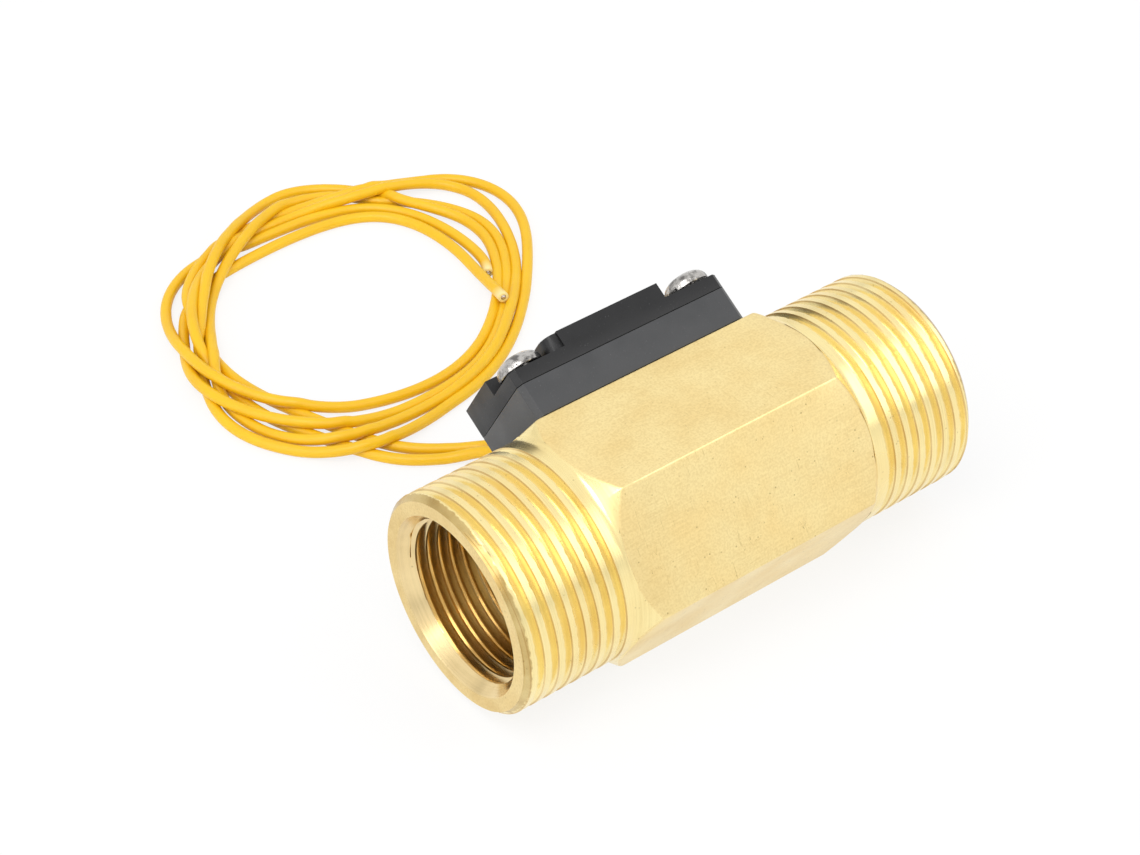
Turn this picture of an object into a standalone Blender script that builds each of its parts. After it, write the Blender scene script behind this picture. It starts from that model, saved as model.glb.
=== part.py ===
"""Brass in-line water flow sensor with a magnetic shuttle and a reed switch.

A hexagonal brass body carries a male pipe thread and a tapped socket at each end.
Water pushes a sprung shuttle off its seat, the magnet on the shuttle closes a reed
switch in the black housing beside the bore, and two loose leads bring the contact out.

The part lies on one flat of its hexagon. X runs along the pipe from the inlet to the
outlet, Z is up and the origin is the middle of the flat that it lies on.
Run with: blender --background --python part.py
"""
import math

import bmesh
import bpy
from mathutils import Matrix, Vector

MM = 0.001

# Clearances
GAP = 0.3 * MM                      # between two pieces that seat on each other
CUT_OVERRUN = 2.0 * MM              # how far a cutter runs past the face it cuts
NOTHING = 1e-9                      # a radius below this counts as the axis
MERGE = 2e-7                        # points closer than this become one

# Facets of the round forms
FINE = 40
MEDIUM = 40
COARSE = 24

# Brass body
BODY_LENGTH = 80.5 * MM
THREAD_DIAMETER = 33.2 * MM         # crest of the G 1 male thread
THREAD_LENGTH = 18.5 * MM
THREAD_CHAMFER = 0.8 * MM
THREAD_PITCH = 25.4 * MM / 11
THREAD_DEPTH = 0.95 * MM
THREAD_FLANK = 27.5                 # degrees, of each side of the groove
THREAD_START_IN = 0.66 * MM         # first groove from the inlet's face, under the pipe
THREAD_START_OUT = 1.1 * MM         # last groove from the outlet's face, under the pipe
THREAD_RUNOUT = 1.0 * MM            # plain neck between the thread and the hexagon
THREAD_FADE = 0.8 * MM              # over which the groove runs out
HEX_STEP = 0.3 * MM                 # across flats, over the thread's crest
BORE_SHARE = 0.726                  # crest of the G 3/4 female thread, over that of the male
SOCKET_DEPTH = 17.0 * MM
MOUTH_STEP = 1.6 * MM
SOCKET_LEAD_IN = 2.0 * MM
CHAMBER_STEP = 1.05 * MM            # from the socket's wall in to the chamber's
SEAT_STEP = 3.0 * MM                # from the chamber's wall in to the seat's bore
SEAT_LENGTH = 8.0 * MM
GROOVE_DEPTH = 0.8 * MM
GROOVE_WIDTH = 1.8 * MM
GROOVE_INSET = 1.6 * MM             # from the outlet end of the chamber
HOUSING_FLAT_CUT = 0.9 * MM         # how deep the flat under the housing is milled
MILL_MARGIN = 2.0 * MM              # the least that the milled flat runs past the housing
ACROSS_FLATS = THREAD_DIAMETER + HEX_STEP
SOCKET_BORE = THREAD_DIAMETER * BORE_SHARE
SOCKET_MOUTH = SOCKET_BORE + 2 * MOUTH_STEP
CHAMBER_BORE = SOCKET_BORE - 2 * CHAMBER_STEP
SEAT_BORE = CHAMBER_BORE - 2 * SEAT_STEP
GROOVE_DIAMETER = CHAMBER_BORE + 2 * GROOVE_DEPTH

# Shuttle
SHUTTLE_TRAVEL = 8.0 * MM
POPPET_CLEARANCE = 0.3 * MM         # poppet in the seat bore, all round
POPPET_LENGTH = 5.5 * MM
POPPET_DISH = 1.6 * MM
SHUTTLE_CHAMFER = 0.8 * MM          # at the poppet's face and the guide rod's tip
FLOW_GAP = 1.3 * MM                 # round the flange, where the water passes it
FLANGE_THICKNESS = 1.8 * MM
STEM_DIAMETER = 9.0 * MM
MAGNET_LENGTH = 7.0 * MM
MAGNET_STEP = 1.9 * MM              # from the flange's edge in to the magnet's
GUIDE_COUNT = 4
GUIDE_WIDTH = 2.4 * MM
GUIDE_CLEARANCE = 0.3 * MM
CLIP_THICKNESS = 1.4 * MM
CLIP_LAP = 0.15 * MM                # past the middle of the magnet's ring
FLANGE_DIAMETER = CHAMBER_BORE - 2 * FLOW_GAP
MAGNET_DIAMETER = FLANGE_DIAMETER - 2 * MAGNET_STEP
CLIP_DIAMETER = (STEM_DIAMETER + MAGNET_DIAMETER) / 2 + 2 * CLIP_LAP
TAIL_DIAMETER = 5.6 * MM
ROD_DIAMETER = 4.0 * MM
ROD_OVERHANG = 1.2 * MM             # rod past the spring stop at rest
SEAL_THICKNESS = 1.2 * MM

# Spring and its stop
WIRE_DIAMETER = 0.6 * MM
SPRING_DIAMETER = 10.4 * MM         # over the wire
SPRING_TURNS = 7.0
SPRING_END_TURNS = 1.0              # closed turns at each end
STOP_THICKNESS = 2.4 * MM
STOP_HUB = 8.6 * MM
STOP_RIM = 1.6 * MM
STOP_SPOKES = 3
STOP_SPOKE_WIDTH = 2.6 * MM
RING_THICKNESS = 1.2 * MM
RING_WIDTH = 1.5 * MM
RING_OPENING = 50.0                 # degrees
RING_LUG = 3.2 * MM
RING_LUG_HOLE = 1.4 * MM
RING_MARGIN = 1.0                   # degrees between a lug and the ring's inner edge

# Housing, in its own frame: x along the pipe, y away from the side seen in front,
# z out from the milled flat
HOUSING_LENGTH = 37.0 * MM
HOUSING_WIDTH = 18.6 * MM
HOUSING_CHAMFER = 0.8 * MM
BASE_HEIGHT = 5.6 * MM
BASE_FLOOR = 1.2 * MM
WALL = 1.6 * MM
POCKET_FLOOR = 2.05 * MM            # lid under the screw pockets
BLOCK_RISE = 2.45 * MM              # raised part of the lid, over the pockets' floor
LID_ROOF = 1.4 * MM
HEAD_ROOM_LEFT = 0.4 * MM           # from each screw's head to the raised block
HEAD_ROOM_RIGHT = 2.4 * MM
HEAD_ROOM_BACK = 0.8 * MM
POCKET_CORNER = 1.0 * MM
NOSE_LENGTH = 2.2 * MM              # set-back part of the raised block by the left screw
NOSE_STEP = 0.6 * MM
NOSE_RADIUS = 1.6 * MM

# Housing screws
SCREW_INSET = 3.5 * MM              # screw axis from the housing's end
SCREW_SETBACK = 3.5 * MM            # screw axis behind the front wall
SCREW_DIAMETER = 4.0 * MM
SCREW_BITE = 3.75 * MM              # thread in the brass
TAP_CLEARANCE = 0.45 * MM           # under the screw's point
SCREW_HEAD = 7.0 * MM
SCREW_HEAD_HEIGHT = 2.7 * MM
SCREW_HEAD_EDGE = 0.9 * MM
DOME_FULLNESS = 0.75                # 1 is an ellipse, less is fuller at the edge
DOME_STEPS = 5
SCREW_POINT = 0.6 * MM
RECESS_WIDTH = 0.9 * MM
RECESS_SPAN = 3.6 * MM
RECESS_DEPTH = 1.4 * MM
BOSS_WALL = 2.0 * MM

# Reed switch
GLASS_DIAMETER = 2.2 * MM
GLASS_BORE = 1.5 * MM
REED_END_GAP = 1.6 * MM             # from each leg's end to the boss beside it
BLADE_THICKNESS = 0.25 * MM
BLADE_WIDTH = 0.9 * MM
BLADE_OVERLAP = 1.0 * MM
CONTACT_GAP = 0.15 * MM
LEG_DIAMETER = 0.6 * MM
LEG_LENGTH = 3.4 * MM               # outside the glass
REED_SETBACK = 6.0 * MM             # reed axis behind the front wall
SOLDER_DIAMETER = 2.8 * MM
SOLDER_FROM_GLASS = 2.2 * MM

# Leads
LEAD_DIAMETER = 1.8 * MM
LEAD_CLEARANCE = 0.3 * MM
CORE_DIAMETER = 0.9 * MM
LEAD_STEP = 3.2                     # route points are this many diameters apart
LEAD_1_EXIT = -8.2 * MM             # place of the first lead's hole along the housing
HOLE_WEB = 0.25 * MM                # wall between the two lead holes
LEAD_STRAIGHT = 0.8 * MM            # straight run on each side of the wall
LEAD_BEND = 6.2 * MM                # the second lead's bend inside the housing
LEAD_LIFT = 0.125 * MM              # under a lead that lies flat
BARED_LENGTH = 4.45 * MM            # core out of the insulation, before it turns
CORE_BEND = 2.2 * MM
CORE_RUN = 4.0 * MM                 # straight part of the second lead's bared core
CORE_REACH = 2.8 * MM               # from the second lead's run to its solder, at least

# Outer shape of the coiled part of the leads
COIL_OUTER = 36.0 * MM
COIL_INNER = 24.0 * MM
COIL_HEIGHT = 5.6 * MM
COIL_FOOT = 9.8 * MM                # width of the part that lies on the floor
COIL_CROWN = 4.6 * MM               # width of the top
COIL_SHIFT = 8.0 * MM               # coil's centre from the first lead's exit, along the pipe
COIL_DISTANCE = 23.9 * MM           # coil's near side from the first lead's exit
LEAD_1_MEETS = -20.65 * MM          # where each lead enters, from the coil's centre
LEAD_2_MEETS = -12.3 * MM

# Where each lead goes from its exit until it enters the coil: how far along the pipe and
# away from the housing, and what share of its height is left
LEAD_1_ROUTE = [(0.2 * MM, 2.6 * MM, 0.745), (0.3 * MM, 5.5 * MM, 0.506),
                (0.6 * MM, 9.7 * MM, 0.281), (0.8 * MM, 14.0 * MM, 0.119),
                (0.1 * MM, 17.6 * MM, 0.025), (-1.9 * MM, 19.6 * MM, 0.0),
                (-5.0 * MM, 20.7 * MM, 0.0), (-8.1 * MM, 22.4 * MM, 0.0),
                (-10.3 * MM, 24.6 * MM, 0.0)]
LEAD_2_ROUTE = [(0.3 * MM, 2.6 * MM, 0.745), (0.7 * MM, 5.5 * MM, 0.506),
                (1.2 * MM, 9.7 * MM, 0.281), (1.4 * MM, 14.4 * MM, 0.119),
                (0.5 * MM, 19.2 * MM, 0.025), (-2.8 * MM, 22.4 * MM, 0.0)]

# Worked out from the sizes above
LID_LOW = BASE_HEIGHT + GAP + POCKET_FLOOR
LID_HIGH = LID_LOW + BLOCK_RISE
LEFT_POCKET_LENGTH = SCREW_INSET + SCREW_HEAD / 2 + HEAD_ROOM_LEFT + NOSE_LENGTH
RIGHT_POCKET_LENGTH = SCREW_INSET + SCREW_HEAD / 2 + HEAD_ROOM_RIGHT
POCKET_DEPTH = SCREW_SETBACK + SCREW_HEAD / 2 + HEAD_ROOM_BACK
SCREW_PITCH = HOUSING_LENGTH - 2 * SCREW_INSET
SCREW_LENGTH = LID_LOW + GAP + SCREW_BITE
TAPPED_DEPTH = SCREW_BITE + TAP_CLEARANCE
GLASS_LENGTH = SCREW_PITCH - SCREW_DIAMETER - 2 * (BOSS_WALL + REED_END_GAP + LEG_LENGTH)
LEAD_2_EXIT = LEAD_1_EXIT + LEAD_DIAMETER + 2 * LEAD_CLEARANCE + HOLE_WEB
LEAD_REST = LEAD_DIAMETER / 2 + LEAD_LIFT
HALF_BODY = BODY_LENGTH / 2
APOTHEM = ACROSS_FLATS / 2
AXIS_Z = APOTHEM
THREAD_END = HALF_BODY - THREAD_LENGTH
SOCKET_END = HALF_BODY - SOCKET_DEPTH
SEAT_FACE = -SOCKET_END + SEAT_LENGTH
FLAT_DISTANCE = APOTHEM - HOUSING_FLAT_CUT
FLANGE_FACE = SEAT_FACE + GAP + SEAL_THICKNESS + GAP
FLANGE_BACK = FLANGE_FACE + FLANGE_THICKNESS
MAGNET_FACE = FLANGE_BACK + GAP
MAGNET_BACK = MAGNET_FACE + MAGNET_LENGTH
CLIP_FACE = MAGNET_BACK + GAP
CLIP_BACK = CLIP_FACE + CLIP_THICKNESS
GROOVE_FACE = SOCKET_END - GROOVE_INSET - GROOVE_WIDTH
RING_FACE = GROOVE_FACE + (GROOVE_WIDTH - RING_THICKNESS) / 2
STOP_FACE = RING_FACE - GAP - STOP_THICKNESS
SPRING_FACE = CLIP_BACK + GAP
SPRING_BACK = STOP_FACE - GAP
STEM_SHOULDER = CLIP_BACK
ROD_START = STOP_FACE - SHUTTLE_TRAVEL - 2 * GAP
ROD_END = STOP_FACE + STOP_THICKNESS + ROD_OVERHANG
FRONT = -HOUSING_WIDTH / 2
REAR = HOUSING_WIDTH / 2
LID_BOTTOM = BASE_HEIGHT + GAP
SCREW_Y = FRONT + SCREW_SETBACK
REED_Y = FRONT + REED_SETBACK
REED_Z = BASE_FLOOR + GAP + GLASS_DIAMETER / 2
LEAD_Z = BASE_FLOOR + GAP + LEAD_CLEARANCE + LEAD_DIAMETER / 2
SOLDER_X = GLASS_LENGTH / 2 + SOLDER_FROM_GLASS
BOSS_REACH = SCREW_DIAMETER / 2 + BOSS_WALL

# The housing's frame stands on the upper rear flat of the hexagon
HOUSING_TILT = math.radians(-60.0)
HOUSING_FRAME = (Matrix.Translation((0.0, 0.0, AXIS_Z))
                 @ Matrix.Rotation(HOUSING_TILT, 4, "X")
                 @ Matrix.Translation((0.0, 0.0, FLAT_DISTANCE)))
# Turned pieces are drawn along Z and laid along the pipe
PIPE_FRAME = Matrix.Translation((0.0, 0.0, AXIS_Z)) @ Matrix.Rotation(math.radians(90.0), 4, "Y")


def clear_scene():
    """Remove whatever the open file holds."""
    for obj in list(bpy.data.objects):
        bpy.data.objects.remove(obj, do_unlink=True)


def make_collection(name):
    """Return a new collection linked under the scene."""
    collection = bpy.data.collections.new(name)
    bpy.context.scene.collection.children.link(collection)
    return collection


def make_material(name, colour, roughness, metallic=0.0):
    """Return a Principled material with the given base colour and finish."""
    material = bpy.data.materials.new(name)
    material.use_nodes = True
    shader = material.node_tree.nodes["Principled BSDF"]
    shader.inputs["Base Color"].default_value = (*colour, 1.0)
    shader.inputs["Roughness"].default_value = roughness
    shader.inputs["Metallic"].default_value = metallic
    return material


class Workshop:
    """Holds the collections, and adds pieces and cutters to them."""

    def __init__(self):
        self.pieces = make_collection("water_flow_sensor")
        self.cutters = make_collection("cutters")
        self.cutters.hide_render = True

    def add(self, name, mesh, material):
        """Add a finished piece with its own material."""
        obj = bpy.data.objects.new(name, mesh)
        obj.data.materials.append(material)
        self.pieces.objects.link(obj)
        return obj

    def tool(self, name, mesh):
        """Add a mesh that only cuts, joins or trims another."""
        obj = bpy.data.objects.new(name, mesh)
        obj.display_type = "WIRE"
        obj.hide_render = True
        self.cutters.objects.link(obj)
        return obj


def combine(obj, tool, operation):
    """Cut, join or intersect a piece with a tool by an exact Boolean."""
    modifier = obj.modifiers.new(f"{operation.lower()} {tool.name}", "BOOLEAN")
    modifier.operation = operation
    modifier.solver = "EXACT"
    modifier.object = tool


def finish_mesh(name, bm, frame):
    """Turn a bmesh into a mesh whose faces look outwards, placed by the frame."""
    bmesh.ops.recalc_face_normals(bm, faces=bm.faces)
    bm.transform(frame)
    mesh = bpy.data.meshes.new(name)
    bm.to_mesh(mesh)
    bm.free()
    return mesh


def turned(name, profile, steps, frame=PIPE_FRAME):
    """Revolve a closed (z, radius) profile about the frame's Z axis.

    A point of radius zero lies on the axis and becomes the tip of a fan of faces.
    """
    bm = bmesh.new()
    rings = []
    for z, radius in profile:
        if radius < NOTHING:
            rings.append([bm.verts.new((0.0, 0.0, z))] * steps)
            continue
        ring = []
        for step in range(steps):
            angle = 2.0 * math.pi * step / steps
            ring.append(bm.verts.new((radius * math.cos(angle), radius * math.sin(angle), z)))
        rings.append(ring)
    for lower, upper in zip(rings, rings[1:] + rings[:1]):
        for step in range(steps):
            after = (step + 1) % steps
            corners = [lower[step], lower[after], upper[after], upper[step]]
            corners = list(dict.fromkeys(corners))
            if len(corners) > 2:
                bm.faces.new(corners)
    return finish_mesh(name, bm, frame)


def wound(name, rows, frame=PIPE_FRAME):
    """Skin a closed surface over rows of (z, radius) points, one for each step of a full turn.

    A row that follows a thread ends one pitch further on than it starts, where a later row
    starts, so the two sides of the seam are merged, and the rows that meet at a thread's end.
    """
    bm = bmesh.new()
    steps = len(rows[0]) - 1
    rings = []
    for row in rows:
        angles = [2.0 * math.pi * (step % steps) / steps for step in range(steps + 1)]
        rings.append([bm.verts.new((radius * math.cos(angle), radius * math.sin(angle), z))
                      for angle, (z, radius) in zip(angles, row)])
    for lower, upper in zip(rings, rings[1:] + rings[:1]):
        for step in range(steps):
            bm.faces.new((lower[step], lower[step + 1], upper[step + 1], upper[step]))
    bmesh.ops.remove_doubles(bm, verts=bm.verts, dist=MERGE)
    bmesh.ops.triangulate(bm, faces=[face for face in bm.faces if len(face.verts) > 3])
    return finish_mesh(name, bm, frame)


def thread_rows(low, high, start):
    """Return the rows that follow the male thread's groove from low to high on the pipe.

    Each turn of the groove has a row at its root between a row at each of its edges.
    """
    crest = THREAD_DIAMETER / 2
    half_width = THREAD_DEPTH * math.tan(math.radians(THREAD_FLANK))
    gone = THREAD_END + THREAD_RUNOUT
    first = math.floor((low - start) / THREAD_PITCH) - 1
    last = math.ceil((high - start) / THREAD_PITCH)
    rows = []
    for turn in range(first, last + 1):
        for off, share in ((-half_width, 0.0), (0.0, 1.0), (half_width, 0.0)):
            row = []
            for step in range(FINE + 1):
                middle = start + THREAD_PITCH * (turn + step / FINE)
                cut = min(max((abs(middle) - gone) / THREAD_FADE, 0.0), 1.0)
                z = min(max(middle + off, low), high)
                inside = HALF_BODY - abs(z)
                bevelled = crest - THREAD_CHAMFER + inside
                depth = THREAD_DEPTH * share * cut if inside > MERGE else 0.0
                row.append((z, min(crest - depth, bevelled)))
            rows.append(row)
    return rows


def prism(name, outline, low, high, frame=HOUSING_FRAME):
    """Extrude a closed (x, y) outline from one height to another."""
    bm = bmesh.new()
    bottom = [bm.verts.new((x, y, low)) for x, y in outline]
    top = [bm.verts.new((x, y, high)) for x, y in outline]
    bm.faces.new(reversed(bottom))
    bm.faces.new(top)
    for i, corner in enumerate(bottom):
        after = (i + 1) % len(bottom)
        bm.faces.new((corner, bottom[after], top[after], top[i]))
    return finish_mesh(name, bm, frame)


def box(name, low, high, frame=HOUSING_FRAME):
    """Return a box between two corners of the frame."""
    (x0, y0, z0), (x1, y1, z1) = low, high
    return prism(name, [(x0, y0), (x1, y0), (x1, y1), (x0, y1)], z0, z1, frame)


def rod(name, radius, low, high, frame, steps=COARSE):
    """Return a plain cylinder along the frame's Z axis."""
    return turned(name, [(low, 0.0), (low, radius), (high, radius), (high, 0.0)], steps, frame)


def arc(centre, radius, start, end, count):
    """Return count + 1 points on an arc, with angles in degrees."""
    points = []
    for i in range(count + 1):
        angle = math.radians(start + (end - start) * i / count)
        points.append((centre[0] + radius * math.cos(angle), centre[1] + radius * math.sin(angle)))
    return points


def chamfered_rectangle(x0, x1, y0, y1, chamfer):
    """Return a rectangle with its four corners cut at 45 degrees."""
    return [(x0 + chamfer, y0), (x1 - chamfer, y0), (x1, y0 + chamfer), (x1, y1 - chamfer),
            (x1 - chamfer, y1), (x0 + chamfer, y1), (x0, y1 - chamfer), (x0, y0 + chamfer)]


def upright(x, y, z=0.0):
    """Return the housing's frame moved to a place in it, with Z still out of the flat."""
    return HOUSING_FRAME @ Matrix.Translation((x, y, z))


def along_housing(x, y, z):
    """Return a frame at a place in the housing with its Z axis along the pipe."""
    return upright(x, y, z) @ Matrix.Rotation(math.radians(90.0), 4, "Y")


def across_housing(x, y, z):
    """Return a frame at a place in the housing with its Z axis out of the rear wall."""
    return upright(x, y, z) @ Matrix.Rotation(math.radians(-90.0), 4, "X")


def smooth_route(points, spacing):
    """Read evenly spaced points from a Catmull-Rom curve through the route's points."""
    anchors = [Vector(point) for point in points]
    before = anchors[0] * 2 - anchors[1]
    after = anchors[-1] * 2 - anchors[-2]
    padded = [before, *anchors, after]
    dense = []
    parts = 24
    for a, b, c, d in zip(padded, padded[1:], padded[2:], padded[3:]):
        for part in range(parts):
            t = part / parts
            dense.append(0.5 * ((2 * b) + (c - a) * t + (2 * a - 5 * b + 4 * c - d) * t ** 2
                                + (3 * b - a - 3 * c + d) * t ** 3))
    dense.append(anchors[-1])
    lengths = [0.0]
    for a, b in zip(dense, dense[1:]):
        lengths.append(lengths[-1] + (b - a).length)
    count = max(2, round(lengths[-1] / spacing))
    even = []
    at = 0
    for i in range(count + 1):
        wanted = lengths[-1] * i / count
        while at < len(lengths) - 2 and lengths[at + 1] < wanted:
            at += 1
        share = (wanted - lengths[at]) / (lengths[at + 1] - lengths[at])
        even.append(dense[at].lerp(dense[at + 1], share))
    return even


def wire(workshop, name, points, diameter, material, resolution=2):
    """Add a round wire or cord along the points, with closed ends."""
    curve = bpy.data.curves.new(name, "CURVE")
    curve.dimensions = "3D"
    curve.bevel_depth = diameter / 2
    curve.bevel_resolution = resolution
    curve.use_fill_caps = True
    spline = curve.splines.new("POLY")
    spline.points.add(len(points) - 1)
    for knot, point in zip(spline.points, points):
        knot.co = (*point, 1.0)
    obj = bpy.data.objects.new(name, curve)
    curve.materials.append(material)
    workshop.pieces.objects.link(obj)
    return obj


def build_body(shop):
    """Turn the brass body from a hexagonal bar, bore it and mill the housing's flat."""
    brass = make_material("brass", (0.82, 0.62, 0.28), 0.32, 1.0)
    thread = THREAD_DIAMETER / 2
    corner = APOTHEM / math.cos(math.radians(30.0))
    widest = corner + CUT_OVERRUN
    cone_end = THREAD_END - (widest - thread)
    mouth, socket = SOCKET_MOUTH / 2, SOCKET_BORE / 2
    seat, chamber, groove = SEAT_BORE / 2, CHAMBER_BORE / 2, GROOVE_DIAMETER / 2
    inlet_thread = thread_rows(-HALF_BODY, -THREAD_END, -HALF_BODY + THREAD_START_IN)
    outlet_thread = thread_rows(THREAD_END, HALF_BODY, HALF_BODY - THREAD_START_OUT)
    outside = [(-HALF_BODY, mouth), *inlet_thread, (-THREAD_END, thread), (-cone_end, widest),
               (cone_end, widest), (THREAD_END, thread), *outlet_thread]
    inside = [
        (HALF_BODY, mouth),
        (HALF_BODY - SOCKET_LEAD_IN, socket), (SOCKET_END, socket), (SOCKET_END, chamber),
        (GROOVE_FACE + GROOVE_WIDTH, chamber), (GROOVE_FACE + GROOVE_WIDTH, groove),
        (GROOVE_FACE, groove), (GROOVE_FACE, chamber),
        (SEAT_FACE, chamber), (SEAT_FACE, seat), (-SOCKET_END, seat),
        (-SOCKET_END, socket), (-HALF_BODY + SOCKET_LEAD_IN, socket),
    ]
    rows = [[row] * (FINE + 1) if isinstance(row, tuple) else row for row in outside + inside]
    body = shop.add("body", wound("body", rows), brass)

    hexagon = [(corner * math.cos(math.radians(a)), corner * math.sin(math.radians(a)))
               for a in range(30, 390, 60)]
    reach = HALF_BODY + CUT_OVERRUN
    bar = shop.tool("hexagonal bar", prism("hexagonal bar", hexagon, -reach, reach, PIPE_FRAME))
    combine(body, bar, "INTERSECT")

    milled = max(THREAD_END, HOUSING_LENGTH / 2 + MILL_MARGIN)
    mill = shop.tool("flat mill", box("flat mill", (-milled, -widest, 0.0),
                                      (milled, widest, HOUSING_FLAT_CUT + CUT_OVERRUN)))
    combine(body, mill, "DIFFERENCE")
    for side, x in (("left", -SCREW_PITCH / 2), ("right", SCREW_PITCH / 2)):
        drill = shop.tool(f"tapping drill {side}",
                          rod(f"tapping drill {side}", SCREW_DIAMETER / 2 + GAP, -TAPPED_DEPTH,
                              CUT_OVERRUN, upright(x, SCREW_Y), MEDIUM))
        combine(body, drill, "DIFFERENCE")
    return body


def build_shuttle(shop):
    """Mould the shuttle: poppet, flange, guide fingers, stem and guide rod."""
    acetal = make_material("white acetal", (0.86, 0.86, 0.84), 0.4)
    poppet = SEAT_BORE / 2 - POPPET_CLEARANCE
    poppet_face = FLANGE_FACE - POPPET_LENGTH - (FLANGE_FACE - SEAT_FACE)
    stem, tail, rod_radius = STEM_DIAMETER / 2, TAIL_DIAMETER / 2, ROD_DIAMETER / 2
    neck = poppet - SEAL_THICKNESS
    profile = [
        (poppet_face + POPPET_DISH, 0.0), (poppet_face, poppet - POPPET_DISH),
        (poppet_face, poppet - SHUTTLE_CHAMFER), (poppet_face + SHUTTLE_CHAMFER, poppet),
        (SEAT_FACE, poppet), (SEAT_FACE, neck), (FLANGE_FACE, neck),
        (FLANGE_FACE, FLANGE_DIAMETER / 2), (FLANGE_BACK, FLANGE_DIAMETER / 2),
        (FLANGE_BACK, stem), (STEM_SHOULDER, stem), (STEM_SHOULDER, tail),
        (ROD_START - (tail - rod_radius), tail), (ROD_START, rod_radius),
        (ROD_END - SHUTTLE_CHAMFER, rod_radius), (ROD_END, rod_radius - SHUTTLE_CHAMFER),
        (ROD_END, 0.0),
    ]
    shuttle = shop.add("shuttle", turned("shuttle", profile, MEDIUM), acetal)
    inner = MAGNET_DIAMETER / 2 + GAP
    outer = CHAMBER_BORE / 2 - GUIDE_CLEARANCE
    for i in range(GUIDE_COUNT):
        frame = PIPE_FRAME @ Matrix.Rotation(2.0 * math.pi * (i + 0.5) / GUIDE_COUNT, 4, "Z")
        half = GUIDE_WIDTH / 2
        sweep = math.degrees(math.asin(half / outer))
        section = [(inner, -half), *arc((0.0, 0.0), outer, -sweep, sweep, 4), (inner, half)]
        finger = shop.tool(f"guide finger {i + 1}",
                           prism(f"guide finger {i + 1}", section,
                                 FLANGE_FACE + FLANGE_THICKNESS / 2, CLIP_BACK, frame))
        combine(shuttle, finger, "UNION")
    return shuttle


def build_shuttle_fittings(shop):
    """Add the seal, the magnet and the clip that the shuttle carries."""
    rubber = make_material("black rubber", (0.03, 0.03, 0.03), 0.75)
    ferrite = make_material("ferrite", (0.09, 0.085, 0.085), 0.55)
    steel = make_material("clip steel", (0.58, 0.58, 0.57), 0.3, 1.0)
    neck = SEAT_BORE / 2 - POPPET_CLEARANCE - SEAL_THICKNESS
    stem = STEM_DIAMETER / 2
    seal = [(SEAT_FACE + GAP, neck + GAP), (SEAT_FACE + GAP, FLANGE_DIAMETER / 2),
            (FLANGE_FACE - GAP, FLANGE_DIAMETER / 2), (FLANGE_FACE - GAP, neck + GAP)]
    shop.add("poppet_seal", turned("poppet_seal", seal, MEDIUM), rubber)
    magnet = [(MAGNET_FACE, stem + GAP), (MAGNET_FACE, MAGNET_DIAMETER / 2),
              (MAGNET_BACK, MAGNET_DIAMETER / 2), (MAGNET_BACK, stem + GAP)]
    shop.add("ring_magnet", turned("ring_magnet", magnet, MEDIUM), ferrite)
    clip = [(CLIP_FACE, stem + GAP), (CLIP_FACE, CLIP_DIAMETER / 2),
            (CLIP_BACK, CLIP_DIAMETER / 2), (CLIP_BACK, stem + GAP)]
    shop.add("magnet_clip", turned("magnet_clip", clip, MEDIUM), steel)


def build_spring(shop):
    """Wind the return spring between the magnet clip and the spring stop."""
    steel = make_material("spring steel", (0.62, 0.62, 0.6), 0.25, 1.0)
    radius = (SPRING_DIAMETER - WIRE_DIAMETER) / 2
    start = SPRING_FACE + WIRE_DIAMETER / 2
    end = SPRING_BACK - WIRE_DIAMETER / 2
    closed = WIRE_DIAMETER + GAP
    per_turn = 14
    total = SPRING_TURNS + 2 * SPRING_END_TURNS
    open_rise = (end - start) - 2 * closed * SPRING_END_TURNS
    points = []
    for i in range(int(total * per_turn) + 1):
        turn = i / per_turn
        low = min(turn, SPRING_END_TURNS)
        high = max(0.0, turn - SPRING_END_TURNS - SPRING_TURNS)
        middle = turn - low - high
        x = start + closed * (low + high) + open_rise * middle / SPRING_TURNS
        angle = 2.0 * math.pi * turn
        points.append((x, radius * math.cos(angle), AXIS_Z + radius * math.sin(angle)))
    return wire(shop, "return_spring", points, WIRE_DIAMETER, steel, 1)


def build_spring_stop(shop):
    """Mould the spring stop: a rim and a hub joined by spokes that water passes between."""
    acetal = make_material("grey acetal", (0.35, 0.36, 0.37), 0.45)
    rim = CHAMBER_BORE / 2 - GAP
    bore = ROD_DIAMETER / 2 + GAP
    profile = [(STOP_FACE, bore), (STOP_FACE, rim), (STOP_FACE + STOP_THICKNESS, rim),
               (STOP_FACE + STOP_THICKNESS, bore)]
    stop = shop.add("spring_stop", turned("spring_stop", profile, MEDIUM), acetal)
    inner, outer = STOP_HUB / 2, rim - STOP_RIM
    half_in = math.degrees(math.asin(STOP_SPOKE_WIDTH / 2 / inner))
    half_out = math.degrees(math.asin(STOP_SPOKE_WIDTH / 2 / outer))
    share = 360.0 / STOP_SPOKES
    for i in range(STOP_SPOKES):
        start, end = i * share, (i + 1) * share
        window = (arc((0.0, 0.0), outer, start + half_out, end - half_out, 10)
                  + arc((0.0, 0.0), inner, end - half_in, start + half_in, 6))
        cutter = shop.tool(f"stop window {i + 1}",
                           prism(f"stop window {i + 1}", window, STOP_FACE - CUT_OVERRUN,
                                 STOP_FACE + STOP_THICKNESS + CUT_OVERRUN, PIPE_FRAME))
        combine(stop, cutter, "DIFFERENCE")
    return stop


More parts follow.
